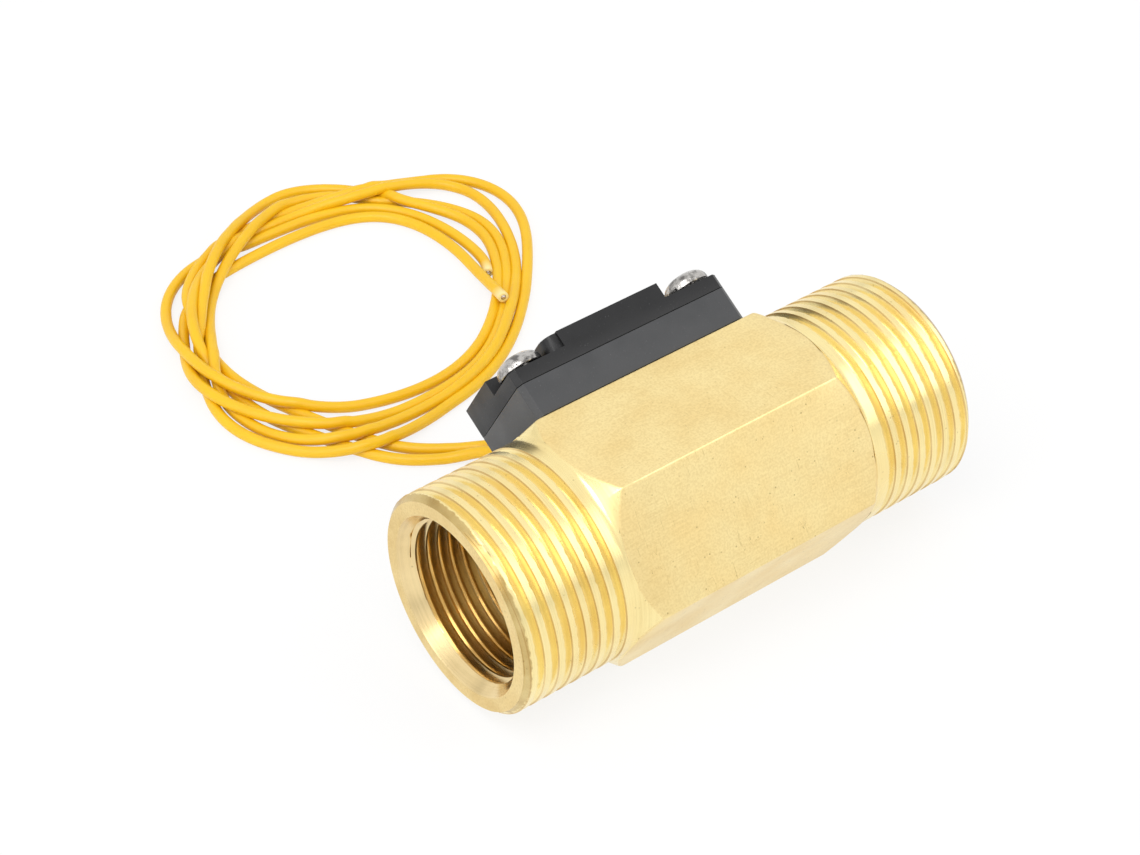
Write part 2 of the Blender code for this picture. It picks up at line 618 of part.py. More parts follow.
def build_retaining_ring(shop):
    """Stamp the open ring that snaps into the chamber's groove."""
    steel = make_material("ring steel", (0.5, 0.5, 0.5), 0.35, 1.0)
    outer = GROOVE_DIAMETER / 2 - GAP
    inner = outer - RING_WIDTH
    lug = RING_LUG / 2
    place = outer - lug
    spread = math.degrees(math.atan(lug / place))
    end = 360.0 - RING_OPENING / 2 - spread
    centres = {}
    for side, angle in (("upper", end), ("lower", 360.0 - end)):
        turn = math.radians(angle)
        centres[side] = (place * math.cos(turn), place * math.sin(turn))
    outline = (arc((0.0, 0.0), outer, 360.0 - end, end, 44)
               + arc(centres["upper"], lug, end, end + 270.0, 12)[1:]
               + arc((0.0, 0.0), inner, end - spread - RING_MARGIN,
                     360.0 - end + spread + RING_MARGIN, 36)
               + arc(centres["lower"], lug, 90.0 - end, 360.0 - end, 12)[:-1])
    ring = shop.add("retaining_ring", prism("retaining_ring", outline, RING_FACE,
                                            RING_FACE + RING_THICKNESS, PIPE_FRAME), steel)
    for side, (x, y) in centres.items():
        hole = shop.tool(f"ring hole {side}",
                         rod(f"ring hole {side}", RING_LUG_HOLE / 2, RING_FACE - CUT_OVERRUN,
                             RING_FACE + RING_THICKNESS + CUT_OVERRUN,
                             PIPE_FRAME @ Matrix.Translation((x, y, 0.0)), 12))
        combine(ring, hole, "DIFFERENCE")
    return ring


def housing_outline(inset=0.0):
    """Return the outline of the housing, or one that lies inside it by the inset."""
    return chamfered_rectangle(-HOUSING_LENGTH / 2 + inset, HOUSING_LENGTH / 2 - inset,
                               FRONT + inset, REAR - inset, HOUSING_CHAMFER)


def cavity_outline(inset):
    """Return the hollow of the housing, which leaves the two screw bosses solid."""
    end = HOUSING_LENGTH / 2 - inset
    boss = SCREW_PITCH / 2 - BOSS_REACH - inset + WALL
    behind = SCREW_Y + BOSS_REACH + inset - WALL
    return [(-end, behind), (-boss, behind), (-boss, FRONT + inset), (boss, FRONT + inset),
            (boss, behind), (end, behind), (end, REAR - inset), (-end, REAR - inset)]


def screw_holes(shop, obj, label, low, high):
    """Cut the two clearance holes of the housing screws."""
    for side, x in (("left", -SCREW_PITCH / 2), ("right", SCREW_PITCH / 2)):
        name = f"{label} hole {side}"
        drill = shop.tool(name, rod(name, SCREW_DIAMETER / 2 + GAP, low, high,
                                    upright(x, SCREW_Y), MEDIUM))
        combine(obj, drill, "DIFFERENCE")


def build_base(shop, plastic):
    """Mould the tray that stands on the milled flat and holds the reed switch."""
    base = shop.add("housing_base", prism("housing_base", housing_outline(), GAP, BASE_HEIGHT),
                    plastic)
    hollow = shop.tool("base hollow", prism("base hollow", cavity_outline(WALL), BASE_FLOOR,
                                            BASE_HEIGHT + CUT_OVERRUN))
    combine(base, hollow, "DIFFERENCE")
    screw_holes(shop, base, "base", -CUT_OVERRUN, BASE_HEIGHT + CUT_OVERRUN)
    for number, x in ((1, LEAD_1_EXIT), (2, LEAD_2_EXIT)):
        name = f"lead hole {number}"
        drill = shop.tool(name, rod(name, LEAD_DIAMETER / 2 + LEAD_CLEARANCE,
                                    -WALL - CUT_OVERRUN, CUT_OVERRUN,
                                    across_housing(x, REAR, LEAD_Z)))
        combine(base, drill, "DIFFERENCE")
    return base


def pocket_outlines():
    """Return the outlines of the two screw pockets, in the housing's frame."""
    past = HOUSING_LENGTH / 2 + CUT_OVERRUN
    front, back = FRONT - CUT_OVERRUN, FRONT + POCKET_DEPTH
    left = -HOUSING_LENGTH / 2 + LEFT_POCKET_LENGTH
    nose = left - NOSE_LENGTH
    step = FRONT + NOSE_STEP
    corner = POCKET_CORNER
    left_pocket = [(-past, front), (left, front), (left, step),
                   *arc((nose + NOSE_RADIUS, step + NOSE_RADIUS), NOSE_RADIUS, 270.0, 180.0, 4),
                   *arc((nose - corner, back - corner), corner, 0.0, 90.0, 3),
                   (-past, back)]
    right = HOUSING_LENGTH / 2 - RIGHT_POCKET_LENGTH
    right_pocket = [(right, front), (past, front), (past, back),
                    *arc((right + corner, back - corner), corner, 90.0, 180.0, 3)]
    return left_pocket, right_pocket


def build_lid(shop, plastic):
    """Mould the lid, with a screw pocket at each front corner."""
    lid = shop.add("housing_lid", prism("housing_lid", housing_outline(), LID_BOTTOM, LID_HIGH),
                   plastic)
    for side, outline in zip(("left", "right"), pocket_outlines()):
        name = f"screw pocket {side}"
        combine(lid, shop.tool(name, prism(name, outline, LID_LOW, LID_HIGH + CUT_OVERRUN)),
                "DIFFERENCE")
    end, behind = HOUSING_LENGTH / 2 - WALL, FRONT + POCKET_DEPTH + WALL
    left, right = LEFT_POCKET_LENGTH - end, end - RIGHT_POCKET_LENGTH
    hollow = [(-end, behind), (left, behind), (left, FRONT + WALL), (right, FRONT + WALL),
              (right, behind), (end, behind), (end, REAR - WALL), (-end, REAR - WALL)]
    combine(lid, shop.tool("lid hollow", prism("lid hollow", hollow, LID_BOTTOM - CUT_OVERRUN,
                                               LID_HIGH - LID_ROOF)), "DIFFERENCE")
    screw_holes(shop, lid, "lid", BASE_HEIGHT - CUT_OVERRUN, LID_HIGH + CUT_OVERRUN)
    return lid


def build_screw(shop, name, x, material):
    """Make a pan head screw with a cross recess, standing on the lid's pocket."""
    under_head = LID_LOW + GAP
    radius, head = SCREW_DIAMETER / 2, SCREW_HEAD / 2
    dome = SCREW_HEAD_HEIGHT - SCREW_HEAD_EDGE
    profile = [(under_head - SCREW_LENGTH, 0.0), (under_head - SCREW_LENGTH, radius - SCREW_POINT),
               (under_head - SCREW_LENGTH + SCREW_POINT, radius), (under_head, radius),
               (under_head, head - GAP), (under_head + GAP, head),
               (under_head + SCREW_HEAD_EDGE, head)]
    for step in range(1, DOME_STEPS + 1):
        angle = math.radians(90.0 * step / DOME_STEPS)
        edge = head * max(0.0, math.cos(angle)) ** DOME_FULLNESS
        profile.append((under_head + SCREW_HEAD_EDGE + dome * math.sin(angle), edge))
    frame = upright(x, SCREW_Y)
    screw = shop.add(name, turned(name, profile, COARSE, frame), material)
    top = under_head + SCREW_HEAD_HEIGHT
    for turn in (45.0, 135.0):
        slot_name = f"{name} recess {int(turn)}"
        slot_frame = frame @ Matrix.Rotation(math.radians(turn), 4, "Z")
        slot = box(slot_name, (-RECESS_SPAN / 2, -RECESS_WIDTH / 2, top - RECESS_DEPTH),
                   (RECESS_SPAN / 2, RECESS_WIDTH / 2, top + CUT_OVERRUN), slot_frame)
        combine(screw, shop.tool(slot_name, slot), "DIFFERENCE")
    return screw


def build_reed(shop):
    """Make the reed switch: an open glass tube and two blades that overlap in it."""
    glass = make_material("reed glass", (0.35, 0.6, 0.42), 0.08)
    alloy = make_material("reed alloy", (0.66, 0.65, 0.62), 0.3, 1.0)
    half = GLASS_LENGTH / 2
    tube = [(-half, GLASS_BORE / 2), (-half, GLASS_DIAMETER / 2), (half, GLASS_DIAMETER / 2),
            (half, GLASS_BORE / 2)]
    shop.add("reed_glass", turned("reed_glass", tube, 16, along_housing(0.0, REED_Y, REED_Z)), glass)
    for side, sign in (("left", -1.0), ("right", 1.0)):
        name = f"reed_blade_{side}"
        lift = -sign * (CONTACT_GAP + BLADE_THICKNESS) / 2
        inner = -sign * BLADE_OVERLAP / 2
        outer = sign * half
        low_x, high_x = sorted((inner, outer))
        flat = box(name, (low_x, REED_Y - BLADE_WIDTH / 2, REED_Z + lift - BLADE_THICKNESS / 2),
                   (high_x, REED_Y + BLADE_WIDTH / 2, REED_Z + lift + BLADE_THICKNESS / 2))
        blade = shop.add(name, flat, alloy)
        leg_low, leg_high = sorted((outer - sign * BLADE_OVERLAP, outer + sign * LEG_LENGTH))
        leg = shop.tool(f"reed leg {side}", rod(f"reed leg {side}", LEG_DIAMETER / 2, leg_low,
                                                leg_high, along_housing(0.0, REED_Y, REED_Z), 12))
        combine(blade, leg, "UNION")


def build_solder(shop):
    """Make the two solder beads, each round a reed leg and the end of a lead's core."""
    tin = make_material("solder", (0.6, 0.6, 0.61), 0.35, 1.0)
    for side, x in (("left", -SOLDER_X), ("right", SOLDER_X)):
        name = f"solder_{side}"
        bead = arc((0.0, 0.0), SOLDER_DIAMETER / 2, 180.0, 0.0, 6)
        frame = along_housing(x, REED_Y, REED_Z)
        obj = shop.add(name, turned(name, bead, 16, frame), tin)
        tunnel = shop.tool(f"{name} tunnel", rod(f"{name} tunnel", LEG_DIAMETER / 2 + LEAD_CLEARANCE,
                                                 -SOLDER_DIAMETER, SOLDER_DIAMETER, frame, 12))
        combine(obj, tunnel, "DIFFERENCE")
        socket = shop.tool(f"{name} socket",
                           rod(f"{name} socket", CORE_DIAMETER / 2 + LEAD_CLEARANCE,
                               LEG_DIAMETER / 2 + LEAD_CLEARANCE / 2, SOLDER_DIAMETER,
                               across_housing(x, REED_Y, REED_Z), 12))
        combine(obj, socket, "DIFFERENCE")


def in_housing(points):
    """Return world points for points given in the housing's frame."""
    return [tuple(HOUSING_FRAME @ Vector(point)) for point in points]


def lead_route(exit_point, route, meets):
    """Return a lead's points outside the housing, from its exit to the side of the coil."""
    x, y, height = exit_point
    points = [exit_point]
    for along, away, left in route:
        points.append((x + along, y + away, LEAD_REST + left * (height - LEAD_REST)))
    reach = COIL_OUTER + GAP + LEAD_DIAMETER / 2
    centre = coil_centre()
    points.append((centre[0] + meets, centre[1] - math.sqrt(reach ** 2 - meets ** 2), LEAD_REST))
    return points


def coil_centre():
    """Return the middle of the coil on the floor."""
    x, y, _ = in_housing([(LEAD_1_EXIT, REAR + LEAD_STRAIGHT, LEAD_Z)])[0]
    return x + COIL_SHIFT, y + COIL_DISTANCE + COIL_OUTER


def build_leads(shop):
    """Lay the two leads from inside the housing to the coil, with their bared cores."""
    yellow = make_material("yellow PVC", (0.93, 0.6, 0.04), 0.42)
    copper = make_material("tinned copper", (0.72, 0.68, 0.62), 0.3, 1.0)
    core_tip = REED_Y + LEG_DIAMETER / 2 + LEAD_CLEARANCE + CORE_DIAMETER / 2
    end_1 = core_tip + BARED_LENGTH
    end_2 = SOLDER_X - CORE_BEND - CORE_RUN
    inner_side, outer_side = REAR - WALL - LEAD_STRAIGHT, REAR + LEAD_STRAIGHT
    bend = min(LEAD_BEND, inner_side - core_tip - CORE_REACH, end_2 - LEAD_2_EXIT)
    run_y = inner_side - bend
    exit_1, exit_2 = in_housing([(LEAD_1_EXIT, outer_side, LEAD_Z), (LEAD_2_EXIT, outer_side, LEAD_Z)])
    inside_1 = in_housing([(LEAD_1_EXIT, end_1, LEAD_Z), (LEAD_1_EXIT, inner_side, LEAD_Z)])
    turn_2 = arc((LEAD_2_EXIT + bend, inner_side), bend, 270.0, 180.0, 3)
    inside_2 = in_housing([(end_2, run_y, LEAD_Z), *((x, y, LEAD_Z) for x, y in turn_2)])
    spacing = LEAD_STEP * LEAD_DIAMETER
    lead_1 = [*inside_1, *lead_route(exit_1, LEAD_1_ROUTE, LEAD_1_MEETS)]
    lead_2 = [*inside_2, *lead_route(exit_2, LEAD_2_ROUTE, LEAD_2_MEETS)]
    wire(shop, "lead_1", smooth_route(lead_1, spacing), LEAD_DIAMETER, yellow)
    wire(shop, "lead_2", smooth_route(lead_2, spacing), LEAD_DIAMETER, yellow)
    core_1 = in_housing([(LEAD_1_EXIT, end_1 - GAP, LEAD_Z), (LEAD_1_EXIT, (end_1 + core_tip) / 2, LEAD_Z),
                         (-SOLDER_X, core_tip, REED_Z)])
    turn_core = arc((SOLDER_X - CORE_BEND, run_y - CORE_BEND), CORE_BEND, 90.0, 0.0, 3)
    core_2 = in_housing([(end_2 + GAP, run_y, LEAD_Z), *((x, y, LEAD_Z) for x, y in turn_core),
                         (SOLDER_X, core_tip, REED_Z)])
    wire(shop, "lead_1_core", smooth_route(core_1, CORE_DIAMETER), CORE_DIAMETER, copper)
    wire(shop, "lead_2_core", smooth_route(core_2, CORE_DIAMETER), CORE_DIAMETER, copper)
    return yellow


def build_coil(shop, material):
    """Turn the outer shape of the coiled part of the leads."""
    middle = (COIL_OUTER + COIL_INNER) / 2
    foot, crown = COIL_FOOT / 2, COIL_CROWN / 2
    profile = [(0.0, middle - foot), (0.0, middle + foot),
               (LEAD_REST, COIL_OUTER), (COIL_HEIGHT / 2, COIL_OUTER),
               (COIL_HEIGHT, middle + crown), (COIL_HEIGHT, middle - crown),
               (COIL_HEIGHT / 2, COIL_INNER), (LEAD_REST, COIL_INNER)]
    frame = Matrix.Translation((*coil_centre(), 0.0))
    return shop.add("lead_coil", turned("lead_coil", profile, MEDIUM, frame), material)


def main():
    """Build every piece of the flow sensor."""
    clear_scene()
    shop = Workshop()
    build_body(shop)
    build_shuttle(shop)
    build_shuttle_fittings(shop)
    build_spring(shop)
    build_spring_stop(shop)
    build_retaining_ring(shop)
    base_plastic = make_material("black nylon, base", (0.055, 0.057, 0.062), 0.5)
    lid_plastic = make_material("black nylon, lid", (0.05, 0.052, 0.056), 0.48)
    build_base(shop, base_plastic)
    build_lid(shop, lid_plastic)
    nickel = make_material("nickel plate", (0.74, 0.73, 0.71), 0.2, 1.0)
    build_screw(shop, "screw_left", -SCREW_PITCH / 2, nickel)
    build_screw(shop, "screw_right", SCREW_PITCH / 2, nickel)
    build_reed(shop)
    build_solder(shop)
    yellow = build_leads(shop)
    build_coil(shop, yellow)


main()
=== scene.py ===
"""Looks of a brass in-line water flow sensor: the threaded hexagonal body, the reed switch's black
housing, its two screws, and the two yellow leads that lie in a coil beside it.

Lengths are millimetres until a mesh is made, and metres from there on. X runs along the pipe, Z is up,
and the pipe's axis is 16.75 mm above the floor.
"""
import logging
from collections.abc import Callable
from dataclasses import dataclass, field
from enum import Enum, IntEnum
from functools import partial
from math import radians

import bmesh
import bpy
import numpy as np
from mathutils import Matrix, Vector


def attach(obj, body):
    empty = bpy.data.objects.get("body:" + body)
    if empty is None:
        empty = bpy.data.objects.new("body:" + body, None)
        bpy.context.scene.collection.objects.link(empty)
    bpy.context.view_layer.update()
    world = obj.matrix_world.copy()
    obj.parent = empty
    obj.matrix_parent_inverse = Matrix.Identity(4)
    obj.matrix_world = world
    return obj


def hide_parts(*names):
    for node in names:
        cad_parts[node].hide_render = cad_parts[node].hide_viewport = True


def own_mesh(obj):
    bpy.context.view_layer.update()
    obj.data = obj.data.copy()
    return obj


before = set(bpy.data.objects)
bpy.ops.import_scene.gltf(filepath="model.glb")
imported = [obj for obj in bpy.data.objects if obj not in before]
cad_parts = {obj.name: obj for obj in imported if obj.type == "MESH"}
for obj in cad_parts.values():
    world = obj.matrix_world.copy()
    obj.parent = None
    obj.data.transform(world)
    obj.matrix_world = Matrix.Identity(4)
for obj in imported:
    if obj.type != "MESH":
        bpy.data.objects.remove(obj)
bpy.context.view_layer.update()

MM = 0.001
TOUCH = 1e-6                        # metres; points of a mesh closer than this become one
AddNode = Callable[..., bpy.types.Node]
log = logging.getLogger("flow_sensor")


class Side(Enum):
    """The two ends of the pipe: the sign of X there."""
    NEAR = -1
    FAR = 1


def linear(code: str, strength: float = 1.0) -> tuple[float, float, float, float]:
    """Turn an sRGB hex colour to linear light.

    Args:
        code: Six hex digits, with or without a leading hash.
        strength: Factor on the result.

    Returns:
        Red, green, blue and an alpha of 1.
    """
    digits = code.lstrip("#")
    parts = np.array([int(digits[i:i + 2], 16) / 255 for i in (0, 2, 4)])
    light = np.where(parts <= 0.04045, parts / 12.92, ((parts + 0.055) / 1.055) ** 2.4) * strength
    return (float(light[0]), float(light[1]), float(light[2]), 1.0)


def per_mm(size: float) -> float:
    """Return the texture scale at which one cell of a pattern is size millimetres wide."""
    return 1.0 / (size * MM)


def degrees(*turn: float) -> tuple[float, ...]:
    """Return angles given in degrees as radians."""
    return tuple(radians(angle) for angle in turn)


def add_node(tree: bpy.types.NodeTree, kind: str, *values: object, **named: object) -> bpy.types.Node:
    """Add a node to a tree, with its settings, values and links.

    Args:
        tree: The node tree.
        kind: The node's Blender type name after ShaderNode.
        values: What its first inputs get, in their order: a value, an output socket, or a node, which
            stands for its first output.
        named: The node's own settings, and what its inputs get by their names, with _ for a space.

    Returns:
        The new node.
    """
    node = tree.nodes.new(f"ShaderNode{kind}")
    settings = {name: value for name, value in named.items() if hasattr(node, name)}
    for name, value in settings.items():
        setattr(node, name, value)
    filled = list(zip((socket for socket in node.inputs if socket.enabled), values))
    filled += [(node.inputs[name.replace("_", " ")], named[name]) for name in named if name not in settings]
    for socket, value in filled:
        if isinstance(value, bpy.types.Node):
            value = next(output for output in value.outputs if output.enabled)
        if isinstance(value, bpy.types.NodeSocket):
            tree.links.new(value, socket)
        else:
            socket.default_value = value
    return node


def new_material(name: str) -> tuple[bpy.types.Material, AddNode]:
    """Start a material.

    Args:
        name: What the real stuff is, and how it was made.

    Returns:
        The empty material, and add_node for its tree.
    """
    material = bpy.data.materials.new(name)
    material.use_nodes = True
    material.node_tree.nodes.clear()
    return material, partial(add_node, material.node_tree)


class Cut(Enum):
    """How a face of the brass was cut, which sets its marks."""
    MILLED = "milled flats"
    TURNED = "turned threads"
    FACED = "faced ends"


@dataclass(frozen=True)
class Brass:
    """Free-cutting brass, CZ121, left as it came off the machine.

    It mirrors softly: pale gold where it faces the light, deep amber where brass lights brass. The
    milled flats have fine crossed tool marks and hairline scratches, the threads rings of turning marks.
    """
    cut: Cut
    base: str = "#FBE3A4"
    deep: str = "#EDCB84"
    stain: str = "#8E7440"
    rough: float = 0.34
    stains: float = 0.5             # share of the deep colour in the clouds
    marks: float = 0.010            # depth of the tool marks
    pitted: float = 0.012           # depth of the pits and scratches
    spacing: float = 0.22           # real marks are near 0.05 apart, too fine to show
    grain: float = 0.32             # of the tarnish on the flats, really near 0.1
    hair: float = 0.0014            # half the width of a scratch, as a share of its pattern
    smooth_above: float = 33.2      # the upper flat is rubbed smoother than the others
    band: float = 0.0               # share of tarnish on the chamfer at each end
    band_from: float = 39.4         # where that chamfer starts, from the middle of the body
    band_ragged: float = 0.7        # how far the band's edge wanders
    band_tone: str = "#A8833F"

    def tool_marks(self, add: AddNode, where: bpy.types.NodeSocket) -> bpy.types.Node:
        """Make the tool marks: two crossed sets in patches on the milled flats, and rings elsewhere.

        Args:
            add: Adds a node to the material.
            where: The piece's own coordinates.

        Returns:
            The node that gives their height.
        """
        fine = per_mm(self.spacing)
        if self.cut is not Cut.MILLED:
            return add("TexNoise", add("Mapping", where, Scale=(1, 0.01, 0.01)), Scale=fine, Detail=3)
        along = add("Mapping", where, Scale=(0.03, 1, 1), Rotation=degrees(0, 0, 3))
        across = add("Mapping", where, Scale=(1, 0.03, 0.03), Rotation=degrees(0, 3, 2))
        weave = add("MapRange", add("TexNoise", where, Scale=per_mm(6.0), Detail=2), 0.4, 0.6)
        return add("Mix", add("Math", weave, 0.6, operation="MULTIPLY"),
                   add("TexNoise", along, Scale=fine, Detail=2),
                   add("TexNoise", across, Scale=fine, Detail=2), data_type="RGBA")

    def flaws(self, add: AddNode, where: bpy.types.NodeSocket) -> bpy.types.Node:
        """Make the pits and, on the milled flats, hairline scratches and short cuts.

        A scratch lies where a stretched noise crosses its middle value.

        Args:
            add: Adds a node to the material.
            where: The piece's own coordinates.

        Returns:
            The node that gives 1 in a flaw and 0 beside it.
        """
        pits = add("MapRange", add("TexVoronoi", where, Scale=per_mm(1.0)), 0.08, 0.17, 1, 0)
        pitted = add("MapRange", add("TexNoise", where, Scale=per_mm(2.6), Detail=3), 0.5, 0.6)
        pits = add("Math", pits, pitted, operation="MULTIPLY")
        if self.cut is not Cut.MILLED:
            return add("Math", pits, 0.6, operation="MULTIPLY")
        drawn = add("Mapping", where, Scale=(1, 0.5, 0.5), Rotation=degrees(20, 10, 50))
        line = add("TexNoise", drawn, Scale=per_mm(7.5), Detail=4, Roughness=0.6)
        line = add("Math", add("Math", line, 0.5, operation="SUBTRACT"), operation="ABSOLUTE")
        scratched = add("MapRange", add("TexNoise", where, Scale=per_mm(3.5), Detail=3), 0.55, 0.62)
        hair = add("Math", add("MapRange", line, 0.0, self.hair, 1, 0), scratched, operation="MULTIPLY")
        drawn = add("Mapping", where, Scale=(1, 0.05, 0.05), Rotation=degrees(0, 4, 1))
        cuts = add("MapRange", add("TexNoise", drawn, Scale=per_mm(0.35), Detail=3), 0.65, 0.72, 0, 0.6)
        knocked = add("MapRange", add("TexNoise", where, Scale=per_mm(5.5), Detail=3), 0.5, 0.58)
        cuts = add("Math", cuts, knocked, operation="MULTIPLY")
        return add("Math", add("Math", hair, pits, operation="MAXIMUM"), cuts, operation="MAXIMUM")

    def chamfer_band(self, add: AddNode, where: bpy.types.NodeSocket, cloud: bpy.types.Node) -> bpy.types.Node:
        """Make the tarnish on the end chamfers, which starts at a ragged line round the pipe.

        Args:
            add: Adds a node to the material.
            where: The piece's own coordinates.
            cloud: The body's clouds, which thin it in places.

        Returns:
            The node that gives its share.
        """
        reach = add("Math", add("SeparateXYZ", where).outputs["X"], operation="ABSOLUTE")
        wander = add("TexNoise", where, Scale=per_mm(0.9), Detail=4)
        wander = add("Math", wander, self.band_ragged * MM, operation="MULTIPLY")
        reach = add("Math", reach, wander, operation="ADD")
        low, soft = self.band_from + self.band_ragged / 2, 0.08
        band = add("MapRange", reach, (low - soft) * MM, (low + soft) * MM, 0, self.band)
        return add("Math", band, add("MapRange", cloud, 0.35, 0.6, 0.55, 1.0), operation="MULTIPLY")

    def build(self) -> bpy.types.Material:
        """Return the brass for this cut."""
        material, add = new_material(f"brass {self.cut.value}")
        where = add("TexCoord").outputs["Object"]
        milled = self.cut is Cut.MILLED
        cloud = add("TexNoise", where, Scale=per_mm(7.0), Detail=5)
        height, flaws = self.tool_marks(add, where), self.flaws(add, where)
        worn = add("MapRange", add("TexNoise", where, Scale=per_mm(5.0), Detail=3), 0.42, 0.62)
        if milled:
            level = add("SeparateXYZ", where).outputs["Z"]
            rubbed = add("MapRange", level, self.smooth_above * MM, (self.smooth_above + 0.2) * MM, 1, 0.4)
            worn = add("Math", worn, rubbed, operation="MULTIPLY")
            flaws = add("Math", flaws, rubbed, operation="MULTIPLY")
        clouded = add("MapRange", cloud, 0.35, 0.7, 0, self.stains)
        tint = add("Mix", clouded, linear(self.base), linear(self.deep), data_type="RGBA")
        # painted shade and reflection contrast: the hollows of the tool marks are tinted darker
        lines = add("MapRange", height, 0.40, 0.60, 0.20 if milled else 0.32, 0.0)
        lines = add("Math", lines, add("MapRange", worn, 0, 1, 0.3, 1), operation="MULTIPLY")
        tint = add("Mix", lines, tint, linear(self.deep, 0.8), data_type="RGBA")
        if self.cut is not Cut.TURNED:
            grain = add("TexNoise", where, Scale=per_mm(self.grain), Detail=3)
            grain = add("MapRange", grain, 0.38, 0.6, 0.24, 0)
            tint = add("Mix", grain, tint, linear(self.deep, 0.75), data_type="RGBA")
        if self.band:
            band = self.chamfer_band(add, where, cloud)
            tint = add("Mix", band, tint, linear(self.band_tone), data_type="RGBA")
        spots = add("Math", flaws, 0.6, operation="MULTIPLY")
        tint = add("Mix", spots, tint, linear(self.stain), data_type="RGBA")
        rough = add("MapRange", cloud, 0.3, 0.7, self.rough - 0.04, self.rough + 0.06)
        normal = add("Bump", Height=height, Distance=self.marks * MM, Strength=1.0)
        normal = add("Bump", Height=flaws, Distance=-self.pitted * MM, Strength=1.0, Normal=normal)
        add("OutputMaterial", add("BsdfPrincipled", Base_Color=tint, Metallic=1.0, Roughness=rough,
                                  Normal=normal))
        return material


@dataclass(frozen=True)
class Nylon:
    """Glass-filled black nylon, moulded: satin, with a fine spark grain and a slightly dusty bloom."""
    piece: str = "tray"
    base: str = "#37383A"
    bloom: str = "#4B4B4D"
    rough: float = 0.42
    gloss: float = 0.5
    dust: str = "#77787A"
    grain: float = 0.28             # real grain is near 0.1 wide, too fine to show
    depth: float = 0.012

    def build(self) -> bpy.types.Material:
        """Return the black nylon."""
        material, add = new_material(f"black nylon {self.piece}")
        where = add("TexCoord").outputs["Object"]
        grain = add("TexNoise", where, Scale=per_mm(self.grain), Detail=3)
        cloud = add("TexNoise", where, Scale=per_mm(5.0), Detail=4)
        fleck = add("MapRange", add("TexNoise", where, Scale=per_mm(0.3), Detail=2), 0.70, 0.77)
        drawn = add("Mapping", where, Scale=(1, 0.06, 0.06), Rotation=degrees(0, 35, 10))
        scuff = add("MapRange", add("TexNoise", drawn, Scale=per_mm(1.2), Detail=4), 0.70, 0.76)
        clouded = add("MapRange", cloud, 0.4, 0.75, 0, 0.4)
        tint = add("Mix", clouded, linear(self.base), linear(self.bloom), data_type="RGBA")
        specks = add("Math", add("Math", fleck, scuff, operation="MAXIMUM"), 0.35, operation="MULTIPLY")
        tint = add("Mix", specks, tint, linear(self.dust), data_type="RGBA")
        rough = add("MapRange", cloud, 0.3, 0.7, self.rough - 0.06, self.rough + 0.1)
        normal = add("Bump", Height=grain, Distance=self.depth * MM, Strength=1.0)
        add("OutputMaterial", add("BsdfPrincipled", Base_Color=tint, Roughness=rough, IOR=1.53,
                                  Specular_IOR_Level=self.gloss, Normal=normal))
        return material


@dataclass(frozen=True)
class NickelPlate:
    """Bright nickel plate on a forged screw: a mirror with small pits and grey, uneven patches."""
    base: str = "#C2BFBB"
    patch: str = "#5C5957"
    pit: str = "#4B4744"
    rough: float = 0.12
    uneven: float = 0.22            # depth of the patches
    pitted: float = 0.05            # depth of the pits

    def build(self) -> bpy.types.Material:
        """Return the plated steel."""
        material, add = new_material("nickel plate")
        where = add("TexCoord").outputs["Object"]
        lumps = add("TexNoise", where, Scale=per_mm(1.5), Detail=4)
        pits = add("MapRange", add("TexVoronoi", where, Scale=per_mm(0.45)), 0.16, 0.3, 1, 0)
        pitted = add("MapRange", add("TexNoise", where, Scale=per_mm(0.9), Detail=3), 0.54, 0.66)
        pits = add("Math", pits, pitted, operation="MULTIPLY")
        patches = add("MapRange", lumps, 0.47, 0.60, 0, 0.85)
        tint = add("Mix", patches, linear(self.base), linear(self.patch), data_type="RGBA")
        spots = add("Math", pits, 0.8, operation="MULTIPLY")
        tint = add("Mix", spots, tint, linear(self.pit), data_type="RGBA")
        rough = add("MapRange", lumps, 0.35, 0.65, self.rough, self.rough + 0.2)
        normal = add("Bump", Height=lumps, Distance=self.uneven * MM, Strength=1.0)
        normal = add("Bump", Height=pits, Distance=-self.pitted * MM, Strength=1.0, Normal=normal)
        add("OutputMaterial", add("BsdfPrincipled", Base_Color=tint, Metallic=1.0, Roughness=rough,
                                  Normal=normal))
        return material


